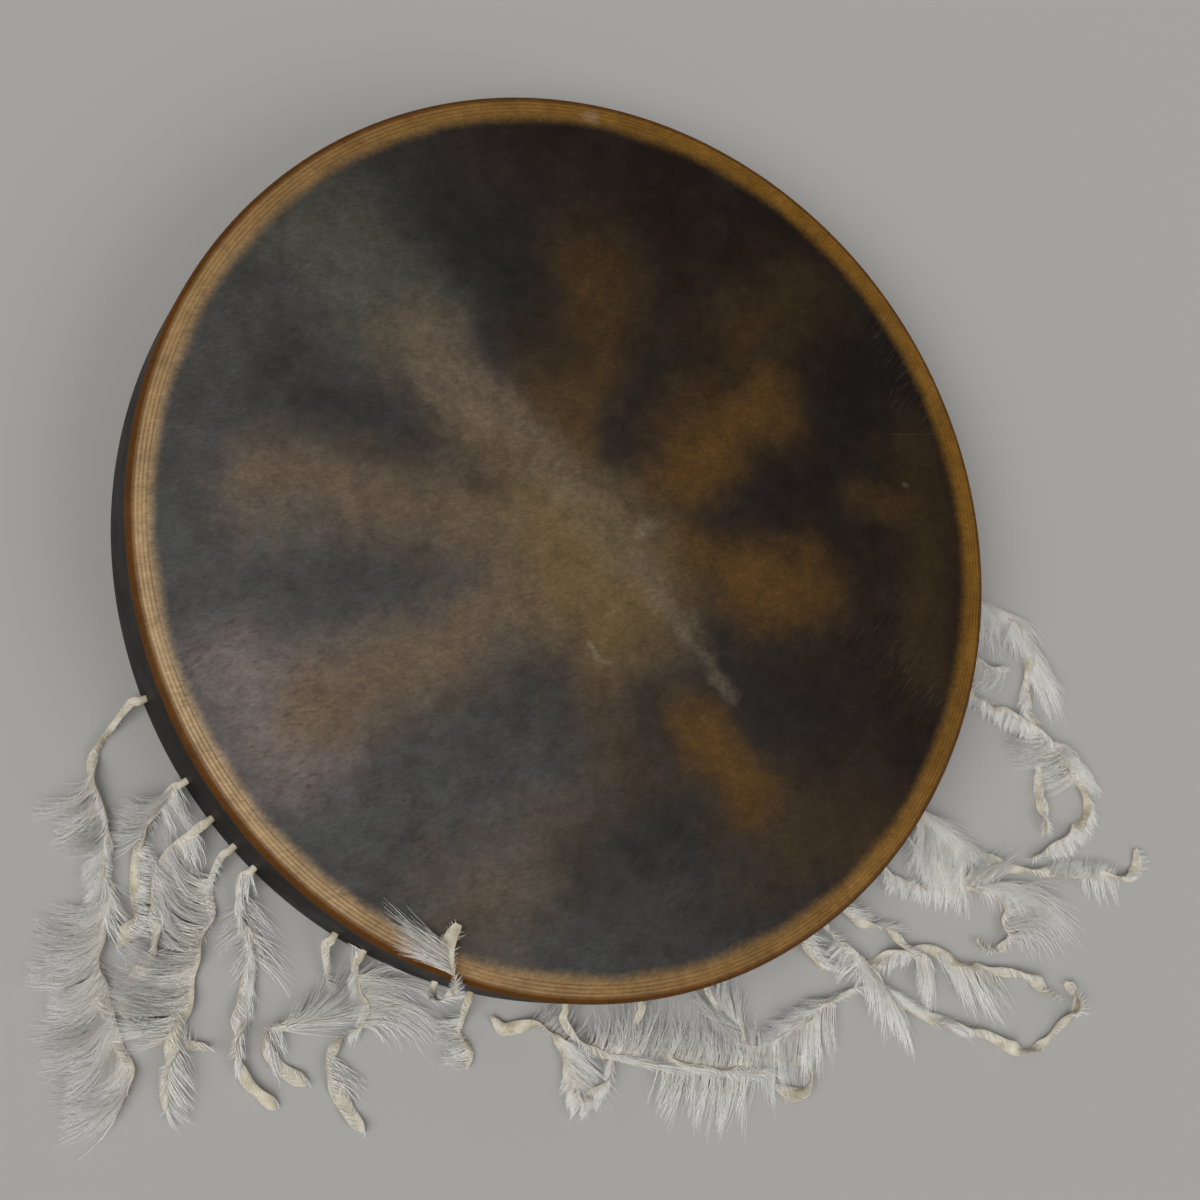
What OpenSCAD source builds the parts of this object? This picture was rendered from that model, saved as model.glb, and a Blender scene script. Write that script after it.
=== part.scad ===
// A shaman drum: a hide head stretched over a laminated hoop, laced to a ring
// across the open back, with furred hide strips knotted through the hoop.
// The drum lies on its back with the head up; the axis is Z and the floor is z = 0.

/* [Drum] */
// Outside diameter, over the hide
drum_d = 500; // [400:5:620]
// Height from the floor to the top of the head
drum_h = 50; // [40:1:70]

/* [Hoop] */
// Thickness of one bent ply
ply_t = 2; // [1.6:0.1:3]
// Glue line between two plies
glue_gap = 0.1; // [0.05:0.01:0.2]
// Rounding of the outer bearing edge
edge_r = 3; // [1:0.1:5]
// Width of the bevel inside the bearing edge
bevel_w = 3.5; // [1:0.1:6]
// Depth of the bevel inside the bearing edge
bevel_h = 2.5; // [1:0.1:5]
// Chamfer of the outer back edge
back_cut = 1.4; // [0.8:0.1:2]
// Width of the butt joint that closes each ply
butt_gap = 0.3; // [0.2:0.05:0.5]

/* [Hide] */
// Thickness of the head hide
hide_t = 1.2; // [0.8:0.1:2]
// Play between the hide and the hoop
hide_gap = 0.25; // [0.15:0.05:0.35]
// Rounding of the hide under the back edge
back_r = 2; // [1:0.1:3]
// How far the turned flap reaches in from the hoop
flap_run = 15; // [12:0.5:25]
// How far the turned flap rises towards the head
flap_rise = 11; // [8:0.5:16]
// Depth of the scallops that the laces leave in the flap's edge
scallop_in = 3; // [1:0.5:4]
// Width of the tongue round each lace hole, between two scallops
tongue_w = 18; // [12:1:40]

/* [Lacing] */
// Diameter of the rawhide lace
lace_d = 3.2; // [2:0.1:4]
// Play between the lace and what it bends round
lace_gap = 0.2; // [0.1:0.05:0.4]
// Diameter of the lace holes in the flap
lace_hole_d = 4.4; // [3.4:0.1:5]
// Distance of the lace holes from the flap's edge
lace_hole_in = 6; // [4:0.5:9]
// Diameter of the stopper knots at the lace ends
stopper_d = 6; // [5:0.1:8]
// Middle diameter of the tie ring
ring_d = 48; // [36:1:70]
// Thickness of the tie ring's bar
ring_bar = 8; // [5:0.5:10]
// Free length of the laces between the ring and a sleeve
sleeve_stand = 8; // [6:0.5:20]
// Length of each grip sleeve
sleeve_len = 44; // [30:1:70]
// Wall of the leather grip sleeves
sleeve_wall = 1.6; // [1:0.1:3]
// Height of the ring and the lacing above the floor
lacing_z = 12; // [11:0.5:20]

/* [Fringe] */
// Width of a fringe strip
strip_w = 6; // [4:0.5:10]
// Thickness of a fringe strip
strip_t = 2.4; // [1.5:0.1:3]
// Diameter of the strip where it passes the hoop
thong_d = 5; // [3:0.1:6]
// Play of the strip in its hole
thong_gap = 0.2; // [0.1:0.05:0.4]
// Height of the strip holes above the floor
thong_z = 11; // [10:0.5:16]
// Diameter of the knots inside the hoop
knot_d = 8; // [7:0.1:12]
// Thickness of the knots inside the hoop
knot_t = 5; // [3:0.1:6]

/* [Hidden] */
$fn = 96;
eps = 0.01;
tube_sides = 8;
ply_count = 5;
arm_count = 4;

// Radii, from the outside in
drum_r = drum_d / 2;
hide_r = drum_r - hide_t;
hoop_r = hide_r - hide_gap;
ply_pitch = ply_t + glue_gap;
hoop_in_r = hoop_r - ply_count * ply_pitch + glue_gap;

// Heights, from the floor up
hoop_z = hide_t + hide_gap;
hoop_top = drum_h - hide_t - hide_gap;

// The turned flap: where it starts, its slope, and its directions in the profile
flap_r = hoop_in_r - hide_gap;
flap_len = norm([flap_run, flap_rise]);
flap_dir = [-flap_run, flap_rise] / flap_len;
flap_up = [flap_rise, flap_run] / flap_len;
lace_hole_at = [flap_r, 0] + (flap_len - lace_hole_in) * flap_dir + hide_t / 2 * flap_up;
lace_off = hide_t / 2 + lace_gap + lace_d / 2;

// The lacing: four arms, each with two loops round the ring and four holes
ring_r = ring_d / 2;
lace_pitch = lace_d + 3 * lace_gap;
loop_step = 35;
loop_angles = [180 - 3 * loop_step : loop_step : 180 + 3 * loop_step];
loop_r = (ring_bar / 2 + lace_gap + lace_d / 2) / cos(loop_step / 2);
sleeve_from = ring_r + loop_r + sleeve_stand;
sleeve_to = sleeve_from + sleeve_len;
sleeve_bore_r = lace_pitch / sqrt(2) + lace_d / 2 + lace_gap;
lace_hole_step = 360 / (4 * arm_count);
bridge_steps = 4;

// The scallops: an arc from tongue to tongue that bites into the flap's edge halfway
flap_edge_r = flap_r - flap_run;
scallop_to = flap_edge_r + scallop_in;
scallop_half = lace_hole_step / 2 - asin(tongue_w / 2 / flap_edge_r);
scallop_foot = flap_edge_r * cos(scallop_half);
scallop_r = (scallop_to ^ 2 + flap_edge_r ^ 2 - 2 * scallop_to * scallop_foot) / (2 * (scallop_to - scallop_foot));

// The plies' butt joints are staggered on the side of the hoop that has no fringe
seam_first = 35;
seam_step = 30;

// Where a strip lies on the floor, and how its neck comes down to it: [out, height]
lie_z = 2;
neck = [[0, thong_z], [4.5, thong_z], [9, 0.78 * thong_z], [13, 0.5 * thong_z]];
neck_round = [1, 0.8, 0.35, 0];
tip_share = 0.55;

// The strip routes were laid out round a drum of this radius and follow its wall
route_r = 250;

// Fringe strips in order round the hoop: [angle of the root, points after the neck].
// A point without a height lies on the floor; the others pass over a strip or the rim.
STRIPS = [
    [-156.5, [[-248, -121], [-253, -134], [-251, -148], [-245, -161], [-243, -178], [-242, -196],
              [-244, -214], [-244, -232], [-240, -250], [-233, -267], [-227, -280], [-228, -292]]],
    [-146, [[-223, -160], [-228, -172], [-229, -185], [-228, -197], [-227, -207], [-231, -214],
            [-235, -221]]],
    [-140.8, [[-213, -175], [-218, -187], [-219, -200], [-218, -213], [-220, -226], [-228, -237],
              [-231, -246], [-227, -256], [-216, -264], [-203, -268], [-189, -270]]],
    [-136.7, [[-192, -191], [-191, -204], [-195, -219], [-199, -233], [-201, -247, 3.5],
              [-204, -260, 6], [-208, -271, 6], [-210, -284, 3], [-209, -298]]],
    [-133.3, [[-176, -203], [-170, -218], [-170, -232], [-172, -246], [-175, -260], [-175, -273],
              [-170, -286], [-162, -294], [-154, -299]]],
    [-121, [[-129, -239], [-129, -249], [-139, -255], [-152, -258], [-161, -264], [-158, -274],
            [-149, -283], [-139, -288]]],
    [-117, [[-114, -243], [-110, -252], [-114, -261], [-123, -267], [-127, -277], [-124, -290],
            [-117, -302], [-109, -313]]],
    [-107.5, [[-79, -250, 14], [-78, -247, 26], [-78, -246, drum_h - 12], [-78, -243, drum_h - 2],
              [-79, -237, drum_h + 4], [-83, -228, drum_h + 3], [-82, -219, drum_h + 2.5],
              [-77, -210, drum_h + 2.5]]],
    [-102.9, [[-58, -264], [-53, -272], [-54, -282]]],
    [-90.5, [[6, -268, 6], [22, -277, 6], [40, -280, 6], [60, -283, 3], [81, -286], [101, -287],
             [121, -285], [138, -282], [149, -285], [150, -295], [141, -301], [130, -297]]],
    [-80.4, [[38, -268], [30, -276], [27, -287], [20, -297], [10, -299], [4, -289], [2, -277],
             [-5, -267], [-15, -261], [-25, -262], [-34, -263], [-40, -257]]],
    [-71, [[97, -258], [107, -265], [111, -274], [120, -276], [132, -270], [147, -259], [167, -250],
           [186, -242]]],
    [-56, [[156, -228], [174, -232], [194, -229], [213, -222], [233, -221], [249, -227], [267, -232],
           [285, -234], [303, -237], [316, -245], [326, -250]]],
    [-52.5, [[173, -218, 5], [186, -229, 6.5], [197, -240, 4.5], [208, -248], [220, -254], [233, -260],
             [252, -266], [270, -270], [284, -276], [298, -280], [313, -276], [325, -266], [336, -258],
             [338, -248], [331, -240]]],
    [-49, [[188, -206], [203, -209, 4], [213, -217, 6], [224, -225, 6], [235, -232, 3]]],
    [-41, [[210, -179], [227, -183], [247, -186], [268, -186], [284, -189], [292, -197], [288, -205],
           [290, -213], [284, -220], [274, -221], [267, -214]]],
    [-35.5, [[225, -158], [237, -167], [248, -175], [257, -177]]],
    [-32, [[235, -146], [250, -153], [265, -161], [280, -168], [299, -173], [321, -174], [343, -174],
           [364, -175], [382, -176], [391, -169], [391, -158]]],
    [-13, [[272, -66], [288, -74], [303, -81, 5], [317, -89, 6.5], [331, -99, 4.5], [341, -110],
           [351, -119], [355, -130], [348, -143], [336, -153], [323, -161], [310, -166]]],
    [-9, [[273, -45], [286, -50], [298, -49]]],
    [-1, [[280, -8], [296, -13], [308, -22], [314, -36], [314, -52], [311, -66], [315, -80], [320, -94],
          [321, -108], [317, -123], [320, -138], [321, -150]]]
];

function ply_name(i) = str("hoop_ply_", i + 1);
function lace_name(i) = str("lace_", i + 1);
function sleeve_name(i) = str("grip_sleeve_", i + 1);
function strip_name(i) = str("fringe_strip_", i + 1);

// Swept tubes
function unit(v) = v / norm(v);
function step(p, i) = unit(p[i + 1] - p[i]);
function before(p, i) = step(p, max(i - 1, 0));
function after(p, i) = step(p, min(i, len(p) - 2));
function tangent(p, i) = unit(before(p, i) + after(p, i));
function carried(n, t) = unit(n - (n * t) * t);
function normals(p, first) = [
    for (i = 0, n = carried(first, tangent(p, 0)); i < len(p);
         i = i + 1, n = carried(n, tangent(p, min(i, len(p) - 1)))) n
];
// A ring is stretched across the bend, so that the tube keeps its width in a corner
function mitred(v, p, i) = let (
    turn = after(p, i) - before(p, i),
    stretch = 2 / norm(after(p, i) + before(p, i)) - 1
) norm(turn) < eps ? v : v + stretch * (v * unit(turn)) * unit(turn);
function ring_points(p, i, up, size) = let (side = cross(up, tangent(p, i))) [
    for (k = [0 : tube_sides - 1]) let (a = 360 * k / tube_sides)
        p[i] + mitred(size[0] / 2 * cos(a) * side + size[1] / 2 * sin(a) * up, p, i)
];

// A closed tube along p; sizes holds the [width, height] of each ring
module swept_tube(p, first, sizes) {
    n = tube_sides;
    up = normals(p, first);
    last = (len(p) - 1) * n;
    points = [for (i = [0 : len(p) - 1]) each ring_points(p, i, up[i], sizes[i])];
    walls = [
        for (i = [0 : len(p) - 2], k = [0 : n - 1])
            let (a = i * n + k, b = i * n + (k + 1) % n)
                each [[a, b, b + n], [a, b + n, a + n]]
    ];
    ends = [for (k = [1 : n - 2]) each [[0, k + 1, k], [last, last + k, last + k + 1]]];
    polyhedron(points, concat(walls, ends));
}

// Half of a profile: a block whose outer corners are rounded
module corner_cut(r) {
    difference() {
        translate([-r, -r]) square(r + 1);
        translate([-r, -r]) circle(r);
    }
}
module rounded_block(width, height, top_r, bottom_r) {
    difference() {
        square([width, height]);
        translate([width, height]) corner_cut(top_r);
        translate([width, 0]) mirror([0, 1]) corner_cut(bottom_r);
    }
}

// Holes for the fringe thongs, through the hoop and the hide
module thong_holes() {
    for (s = STRIPS)
        rotate([0, 0, s[0]]) translate([hoop_in_r - knot_t, 0, thong_z]) rotate([0, 90, 0])
            cylinder(d = thong_d + 2 * thong_gap, h = drum_r - hoop_in_r + 2 * knot_t);
}

// The hoop: bent plies with a bearing edge, each closed by a butt joint
module hoop_profile() {
    difference() {
        translate([hoop_in_r, hoop_z]) square([hoop_r - hoop_in_r, hoop_top - hoop_z]);
        translate([hoop_r, hoop_top]) corner_cut(edge_r);
        polygon([
            [hoop_r - back_cut, hoop_z - eps],
            [hoop_r + eps, hoop_z - eps],
            [hoop_r + eps, hoop_z + back_cut]
        ]);
        polygon([
            [hoop_in_r - eps, hoop_top - bevel_h],
            [hoop_in_r + bevel_w, hoop_top],
            [hoop_in_r + bevel_w, drum_h],
            [hoop_in_r - eps, drum_h]
        ]);
    }
}
module hoop_ply(i) {
    ply_in = hoop_in_r + i * ply_pitch;
    joint_angle = 360 * butt_gap / (2 * PI * ply_in);
    color("burlywood") difference() {
        rotate([0, 0, seam_first + i * seam_step]) rotate_extrude(angle = 360 - joint_angle) intersection() {
            hoop_profile();
            translate([ply_in, 0]) square([ply_t, drum_h]);
        }
        thong_holes();
    }
}

// The head: one hide over the hoop, down its wall, under its back edge and up in a laced flap
module flap_band() {
    foot = [flap_r, 0] - 2 * hide_t * flap_dir;
    tip = [flap_r, 0] + flap_len * flap_dir;
    polygon([foot, tip, tip + hide_t * flap_up, foot + hide_t * flap_up]);
}
module hide_profile() {
    difference() {
        rounded_block(drum_r, drum_h, edge_r + hide_t, back_r);
        difference() {
            union() {
                translate([0, hide_t])
                    rounded_block(hide_r, drum_h - 2 * hide_t, edge_r, max(back_r - hide_t, eps));
                translate([0, -1]) square([flap_r, hide_t + 2]);
            }
            flap_band();
        }
    }
}
module lace_holes() {
    tilt = atan2(flap_up[0], flap_up[1]);
    for (a = [0 : lace_hole_step : 359])
        rotate([0, 0, a + lace_hole_step / 2]) translate([lace_hole_at[0], 0, lace_hole_at[1]])
            rotate([0, tilt, 0]) cylinder(d = lace_hole_d, h = 4 * hide_t, center = true);
}
module flap_scallops() {
    for (a = [0 : lace_hole_step : 359])
        rotate([0, 0, a]) translate([scallop_to - scallop_r, 0, eps])
            cylinder(r = scallop_r, h = flap_rise + 2 * hide_t);
}
module head_hide() {
    color("#4a3a2c") difference() {
        rotate_extrude() hide_profile();
        thong_holes();
        lace_holes();
        flap_scallops();
    }
}

// The tie ring at the middle of the lacing
module tie_ring() {
    color("dimgray") translate([0, 0, lacing_z]) rotate_extrude()
        translate([ring_r, 0]) circle(d = ring_bar);
}

// One lace of an arm: hole, ring, hole, along the flap, hole, ring, hole. The path is in the
// arm's own frame, with the arm along X; level says if a leg lies over or under its partner.
function at_hole(angle, shift) = let (p = lace_hole_at + shift) [p[0] * cos(angle), p[0] * sin(angle), p[1]];
function above_hole(angle) = at_hole(angle, lace_off * flap_up);
function below_hole(angle) = at_hole(angle, -lace_off * flap_up);
function below_edge(angle) = at_hole(angle, lace_hole_in * flap_dir - lace_off * flap_up);
function leg(angle, side, level) = let (y = side * lace_pitch / 2, z = lacing_z + level * lace_pitch / 2) [
    below_hole(angle),
    below_edge(angle),
    [sleeve_to + lace_d, y, z],
    [sleeve_from - lace_d, y, z]
];
function ring_loop(side) = [
    for (a = loop_angles) [ring_r + loop_r * cos(a), side * lace_pitch / 2, lacing_z + loop_r * sin(a)]
];
function reversed(p) = [for (i = [len(p) - 1 : -1 : 0]) p[i]];
function half_lace(outer, inner, side) = concat(
    [above_hole(outer) + [0, 0, stopper_d / 2], above_hole(outer)],
    leg(outer, side, 1),
    ring_loop(side),
    reversed(leg(inner, side, -1)),
    [above_hole(inner)]
);
function bridge(from, to) = [
    for (i = [1 : bridge_steps - 1]) above_hole(from + (to - from) * i / bridge_steps)
];
function lace_path() = let (near = lace_hole_step / 2, far = 1.5 * lace_hole_step) concat(
    half_lace(-far, -near, -1),
    bridge(-near, near),
    reversed(half_lace(far, near, 1))
);
module lace(i) {
    path = lace_path();
    ends = [0, len(path) - 1];
    sizes = [
        for (k = [0 : len(path) - 1]) let (d = k == ends[0] || k == ends[1] ? stopper_d : lace_d) [d, d]
    ];
    color("tan") rotate([0, 0, i * 360 / arm_count]) swept_tube(path, [0, 1, 0], sizes);
}

// A leather sleeve with rounded ends that gathers the four legs of an arm into a grip
module grip_sleeve(i) {
    color("saddlebrown") rotate([0, 0, i * 360 / arm_count]) translate([sleeve_from, 0, lacing_z])
        rotate([0, 90, 0]) rotate_extrude() translate([sleeve_bore_r, sleeve_wall / 2]) {
            square([sleeve_wall, sleeve_len - sleeve_wall]);
            translate([sleeve_wall / 2, 0]) circle(d = sleeve_wall);
            translate([sleeve_wall / 2, sleeve_len - sleeve_wall]) circle(d = sleeve_wall);
        }
}

// The strips' knots inside the hoop, each with its shank through the hoop and the hide
module thong_knots() {
    color("wheat") for (s = STRIPS)
        rotate([0, 0, s[0]]) translate([hoop_in_r - glue_gap, 0, thong_z]) rotate([0, 90, 0]) {
            cylinder(d = thong_d, h = drum_r - hoop_in_r + glue_gap);
            translate([0, 0, -knot_t]) rotate_extrude() {
                square([knot_d / 2 - knot_t / 2, knot_t]);
                translate([knot_d / 2 - knot_t / 2, knot_t / 2]) intersection() {
                    circle(d = knot_t);
                    translate([0, -knot_t / 2]) square(knot_t);
                }
            }
        }
}

// A fringe strip: a round neck out of its hole, then a flat thong down to the floor and along it
function on_floor(p) = len(p) == 3 ? p : [p[0], p[1], lie_z];
function by_wall(p) = let (r = norm([p[0], p[1]]), s = (r + drum_r - route_r) / r) [p[0] * s, p[1] * s, p[2]];
function strip_path(s) = concat(
    [for (q = neck) [(drum_r + q[0]) * cos(s[0]), (drum_r + q[0]) * sin(s[0]), q[1]]],
    [for (p = s[1]) by_wall(on_floor(p))]
);
module fringe_strip(i) {
    path = strip_path(STRIPS[i]);
    share = [for (k = [0 : len(path) - 1]) k < len(neck) ? neck_round[k] : 0];
    tip = [for (k = [0 : len(path) - 1]) k == len(path) - 1 ? tip_share : 1];
    sizes = [
        for (k = [0 : len(path) - 1]) tip[k] * [
            thong_d * share[k] + strip_w * (1 - share[k]),
            thong_d * share[k] + strip_t * (1 - share[k])
        ]
    ];
    color("ivory") swept_tube(path, [0, 0, 1], sizes);
}

head_hide();
tie_ring();
thong_knots();
for (i = [0 : ply_count - 1]) hoop_ply(i);
for (i = [0 : arm_count - 1]) lace(i);
for (i = [0 : arm_count - 1]) grip_sleeve(i);
for (i = [0 : len(STRIPS) - 1]) fringe_strip(i);
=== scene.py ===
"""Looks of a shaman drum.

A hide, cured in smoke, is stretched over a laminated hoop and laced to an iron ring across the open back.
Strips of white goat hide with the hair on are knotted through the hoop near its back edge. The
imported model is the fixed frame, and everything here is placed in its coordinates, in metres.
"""

from __future__ import annotations

import logging
import math
from dataclasses import dataclass, field
from enum import Enum
from functools import partial
from typing import Any, Callable, Sequence

import bmesh
import bpy
import numpy as np
from mathutils import Matrix, Vector


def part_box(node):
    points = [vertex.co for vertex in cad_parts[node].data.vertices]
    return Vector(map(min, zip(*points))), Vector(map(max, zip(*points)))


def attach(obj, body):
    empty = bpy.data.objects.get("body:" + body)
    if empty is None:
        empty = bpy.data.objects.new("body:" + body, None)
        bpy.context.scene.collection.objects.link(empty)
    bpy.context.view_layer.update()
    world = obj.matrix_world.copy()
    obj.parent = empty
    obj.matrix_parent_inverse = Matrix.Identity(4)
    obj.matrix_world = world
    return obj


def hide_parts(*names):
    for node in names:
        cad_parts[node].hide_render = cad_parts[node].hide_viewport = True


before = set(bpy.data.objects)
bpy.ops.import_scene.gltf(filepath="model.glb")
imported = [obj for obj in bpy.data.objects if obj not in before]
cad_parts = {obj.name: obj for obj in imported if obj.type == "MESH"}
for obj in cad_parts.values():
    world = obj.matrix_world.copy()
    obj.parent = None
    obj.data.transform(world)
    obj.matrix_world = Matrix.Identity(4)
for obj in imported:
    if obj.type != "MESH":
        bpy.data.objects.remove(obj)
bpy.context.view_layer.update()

LOG = logging.getLogger("shaman_drum")
MM = 0.001
ROOT_BODY = "root"
UP = np.array([0.0, 0.0, 1.0])
TURN = 2 * math.pi

Array = np.ndarray
Pair = tuple[float, float]
Triple = tuple[float, float, float]
Tree = bpy.types.NodeTree
Node = bpy.types.Node
Piece = bpy.types.Object
Material = bpy.types.Material
Adder = Callable[..., Node]

# Kinds of node that are used often. RANGE takes a value, the ends of the range that it comes from and
# the ends of the range that it goes to.
MATH, VECTOR, RANGE = "ShaderNodeMath", "ShaderNodeVectorMath", "ShaderNodeMapRange"
MIX, NOISE, BUMP = "ShaderNodeMix", "ShaderNodeTexNoise", "ShaderNodeBump"
SPLIT, JOIN = "ShaderNodeSeparateXYZ", "ShaderNodeCombineXYZ"
READ, STORE = "GeometryNodeInputNamedAttribute", "GeometryNodeStoreNamedAttribute"
PLACE, INDEXED = "GeometryNodeInputPosition", "GeometryNodeSampleIndex"
MOVE, REALIZE = "GeometryNodeSetPosition", "GeometryNodeRealizeInstances"
RANDOM, SMOOTH = "FunctionNodeRandomValue", "GeometryNodeSetShadeSmooth"

# Options of a mix of two colours and of a range with soft ends.
TINT = {"data_type": "RGBA"}
SOFT = {"interpolation_type": "SMOOTHSTEP"}

# Ends between which a noise is spread out: nearly all of it, its middle, and that of grain or clouds.
WIDE, MIDDLE, CLOUDED = (0.3, 0.7), (0.35, 0.65), (0.36, 0.66)


class Slot(Enum):
    """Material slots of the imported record."""

    HEAD = "head_rawhide"
    HOOP = "hoop_ash"
    LACE = "lace_rawhide"
    RING = "ring_iron"
    GRIP = "grip_leather"
    FRINGE = "fringe_rawhide"


def linear(code: str) -> tuple[float, float, float, float]:
    """Turn an sRGB hex colour into linear RGBA.

    Args:
        code: Six hex digits after a hash.

    Returns:
        The colour as linear red, green, blue and full alpha.
    """
    parts = [int(code[i:i + 2], 16) / 255 for i in (1, 3, 5)]
    low = [p / 12.92 if p <= 0.04045 else ((p + 0.055) / 1.055) ** 2.4 for p in parts]
    return (low[0], low[1], low[2], 1.0)


def add(tree: Tree, kind: str, inputs: Any = (), operation: str = "", **settings: Any) -> Node:
    """Add a node to a tree, with its settings and links.

    Args:
        tree: The tree that gets the node.
        kind: The node's type.
        inputs: For each input, in order or by name or number, a value, a socket, or a node for the
            first of its outputs that is in use.
        operation: What a MATH or VECTOR node does.
        **settings: Other options of the node.

    Returns:
        The new node.
    """
    made = tree.nodes.new(kind)
    if operation:
        made.operation = operation
    for name, value in settings.items():
        setattr(made, name, value)
    for key, value in inputs.items() if isinstance(inputs, dict) else enumerate(inputs):
        if isinstance(value, Node):
            value = next(socket for socket in value.outputs if socket.enabled)
        if isinstance(value, bpy.types.NodeSocket):
            tree.links.new(value, made.inputs[key])
        else:
            made.inputs[key].default_value = value
    return made


def new_object(name: str, verts: Array, faces: Sequence[Sequence[int]],
               edges: Sequence[Sequence[int]] = ()) -> Piece:
    """Make a smooth-shaded mesh object at the origin.

    Args:
        name: The object's name.
        verts: Vertex places, in metres.
        faces: Vertex numbers of each face.
        edges: Vertex numbers of each loose edge.

    Returns:
        The linked object.
    """
    mesh = bpy.data.meshes.new(name)
    mesh.from_pydata([tuple(v) for v in np.asarray(verts, float)], list(edges), list(faces))
    mesh.polygons.foreach_set("use_smooth", [True] * len(mesh.polygons))
    made = bpy.data.objects.new(name, mesh)
    bpy.context.scene.collection.objects.link(made)
    return made


def set_attribute(piece: Piece, name: str, values: Array) -> None:
    """Store one number or one vector for each vertex of a mesh.

    Args:
        piece: The mesh object.
        name: The attribute's name.
        values: One row for each vertex.
    """
    values = np.asarray(values, np.float32)
    kind, key = ("FLOAT_VECTOR", "vector") if values.ndim == 2 else ("FLOAT", "value")
    made = piece.data.attributes.new(name, kind, "POINT")
    made.data.foreach_set(key, values.ravel())


def new_group(name: str, kind: str, output: tuple[str, str],
              **inputs: Sequence[str]) -> tuple[Tree, Adder, Any]:
    """Start a node group.

    Args:
        name: The group's name.
        kind: The tree's type.
        output: Name and socket type of its output.
        **inputs: Names of its inputs, for each socket type.

    Returns:
        The group, the function that adds a node to it, and the sockets of its inputs.
    """
    tree = bpy.data.node_groups.new(name, kind)
    tree.interface.new_socket(output[0], in_out="OUTPUT", socket_type=f"NodeSocket{output[1]}")
    for sort, labels in inputs.items():
        for label in labels:
            tree.interface.new_socket(label, in_out="INPUT", socket_type=f"NodeSocket{sort}")
    return tree, partial(add, tree), add(tree, "NodeGroupInput").outputs


def new_tree(name: str, **inputs: Sequence[str]) -> tuple[Tree, Adder, Any]:
    """Start a Geometry Nodes tree, whose first inputs are the geometry and the material.

    Args:
        name: The tree's name.
        **inputs: Names of its other inputs, for each socket type.

    Returns:
        The tree, the function that adds a node to it, and the sockets of its inputs.
    """
    first = {"Geometry": ("Geometry",), "Material": ("Material",)}
    return new_group(name, "GeometryNodeTree", ("Geometry", "Geometry"), **first, **inputs)


def end_tree(node: Adder, geometry: Node, given: Any) -> None:
    """Close a Geometry Nodes tree with real, dressed geometry.

    Args:
        node: Adds a node to the tree.
        geometry: The node that gives the shape.
        given: Sockets of the tree's inputs.
    """
    real = node(REALIZE, (geometry,))
    dressed = node("GeometryNodeSetMaterial", {"Geometry": real, "Material": given["Material"]})
    node("NodeGroupOutput", (dressed,))


def run_tree(source: Piece, tree: Tree, material: Material, settings: dict[str, Any], name: str) -> Piece:
    """Run a tree on a scratch object and keep the result as a plain mesh.

    Args:
        source: The scratch object, which is removed.
        tree: The tree to run.
        material: The piece's material.
        settings: Values of the tree's other inputs, by name.
        name: Name of the finished piece.

    Returns:
        The finished piece.
    """
    modifier = source.modifiers.new(tree.name, "NODES")
    modifier.node_group = tree
    inputs = [i for i in tree.interface.items_tree if i.item_type == "SOCKET" and i.in_out == "INPUT"]
    keys = {i.name: i.identifier for i in inputs}
    for label, value in {**settings, "Material": material}.items():
        modifier[keys[label]] = value
    graph = bpy.context.evaluated_depsgraph_get()
    mesh = bpy.data.meshes.new_from_object(
        source.evaluated_get(graph), preserve_all_data_layers=True, depsgraph=graph)
    source.modifiers.remove(modifier)
    bpy.data.objects.remove(source)
    mesh.name = name
    made = bpy.data.objects.new(name, mesh)
    bpy.context.scene.collection.objects.link(made)
    return made


def hand_over(piece: Piece, slot: Slot, *nodes: str) -> None:
    """Let a finished piece ride on the drum and stand for its CAD nodes.

    Args:
        piece: The finished piece.
        slot: The record's material slot; not used.
        *nodes: CAD nodes that the piece stands for.
    """
    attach(piece, ROOT_BODY)
    if nodes:
        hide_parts(*nodes)
    LOG.info("%s: %d faces", piece.name, len(piece.data.polygons))


def dress_node(name: str, finish: Finish) -> None:
    """Give a CAD node that keeps its shape its finish.

    Args:
        name: The node's name.
        finish: Its finish.
    """
    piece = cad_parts[name]
    piece.data.materials.clear()
    piece.data.materials.append(finish.material())
    LOG.info("%s: %d faces", name, len(piece.data.polygons))


def smooth_line(points: Array, spacing: float) -> Array:
    """Draw one smooth curve through points, at an even spacing.

    Args:
        points: The points that the curve goes through.
        spacing: Distance between two points of the result.

    Returns:
        The curve's points.
    """
    p = np.vstack([2 * points[0] - points[1], points, 2 * points[-1] - points[-2]])
    t = np.linspace(0, 1, 24, endpoint=False)[:, None]
    runs = []
    for a, b, c, d in zip(p[:-3], p[1:-2], p[2:-1], p[3:]):
        runs.append(0.5 * (2 * b + (c - a) * t + (2 * a - 5 * b + 4 * c - d) * t ** 2
                           + (3 * b - a - 3 * c + d) * t ** 3))
    dense = np.vstack([*runs, points[-1:]])
    along = np.concatenate([[0], np.cumsum(np.linalg.norm(np.diff(dense, axis=0), axis=1))])
    even = np.linspace(0, along[-1], max(int(round(along[-1] / spacing)), 4) + 1)
    return np.stack([np.interp(even, along, dense[:, k]) for k in range(3)], axis=1)


def spokes(turns: Array) -> Array:
    """Give the level direction at each angle, in radians from +X towards +Y."""
    return np.stack([np.cos(turns), np.sin(turns), np.zeros(len(turns))], axis=1)


def unit(v: Array) -> Array:
    """Scale each row of an array to length one."""
    return v / np.maximum(np.linalg.norm(v, axis=-1, keepdims=True), 1e-12)


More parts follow.
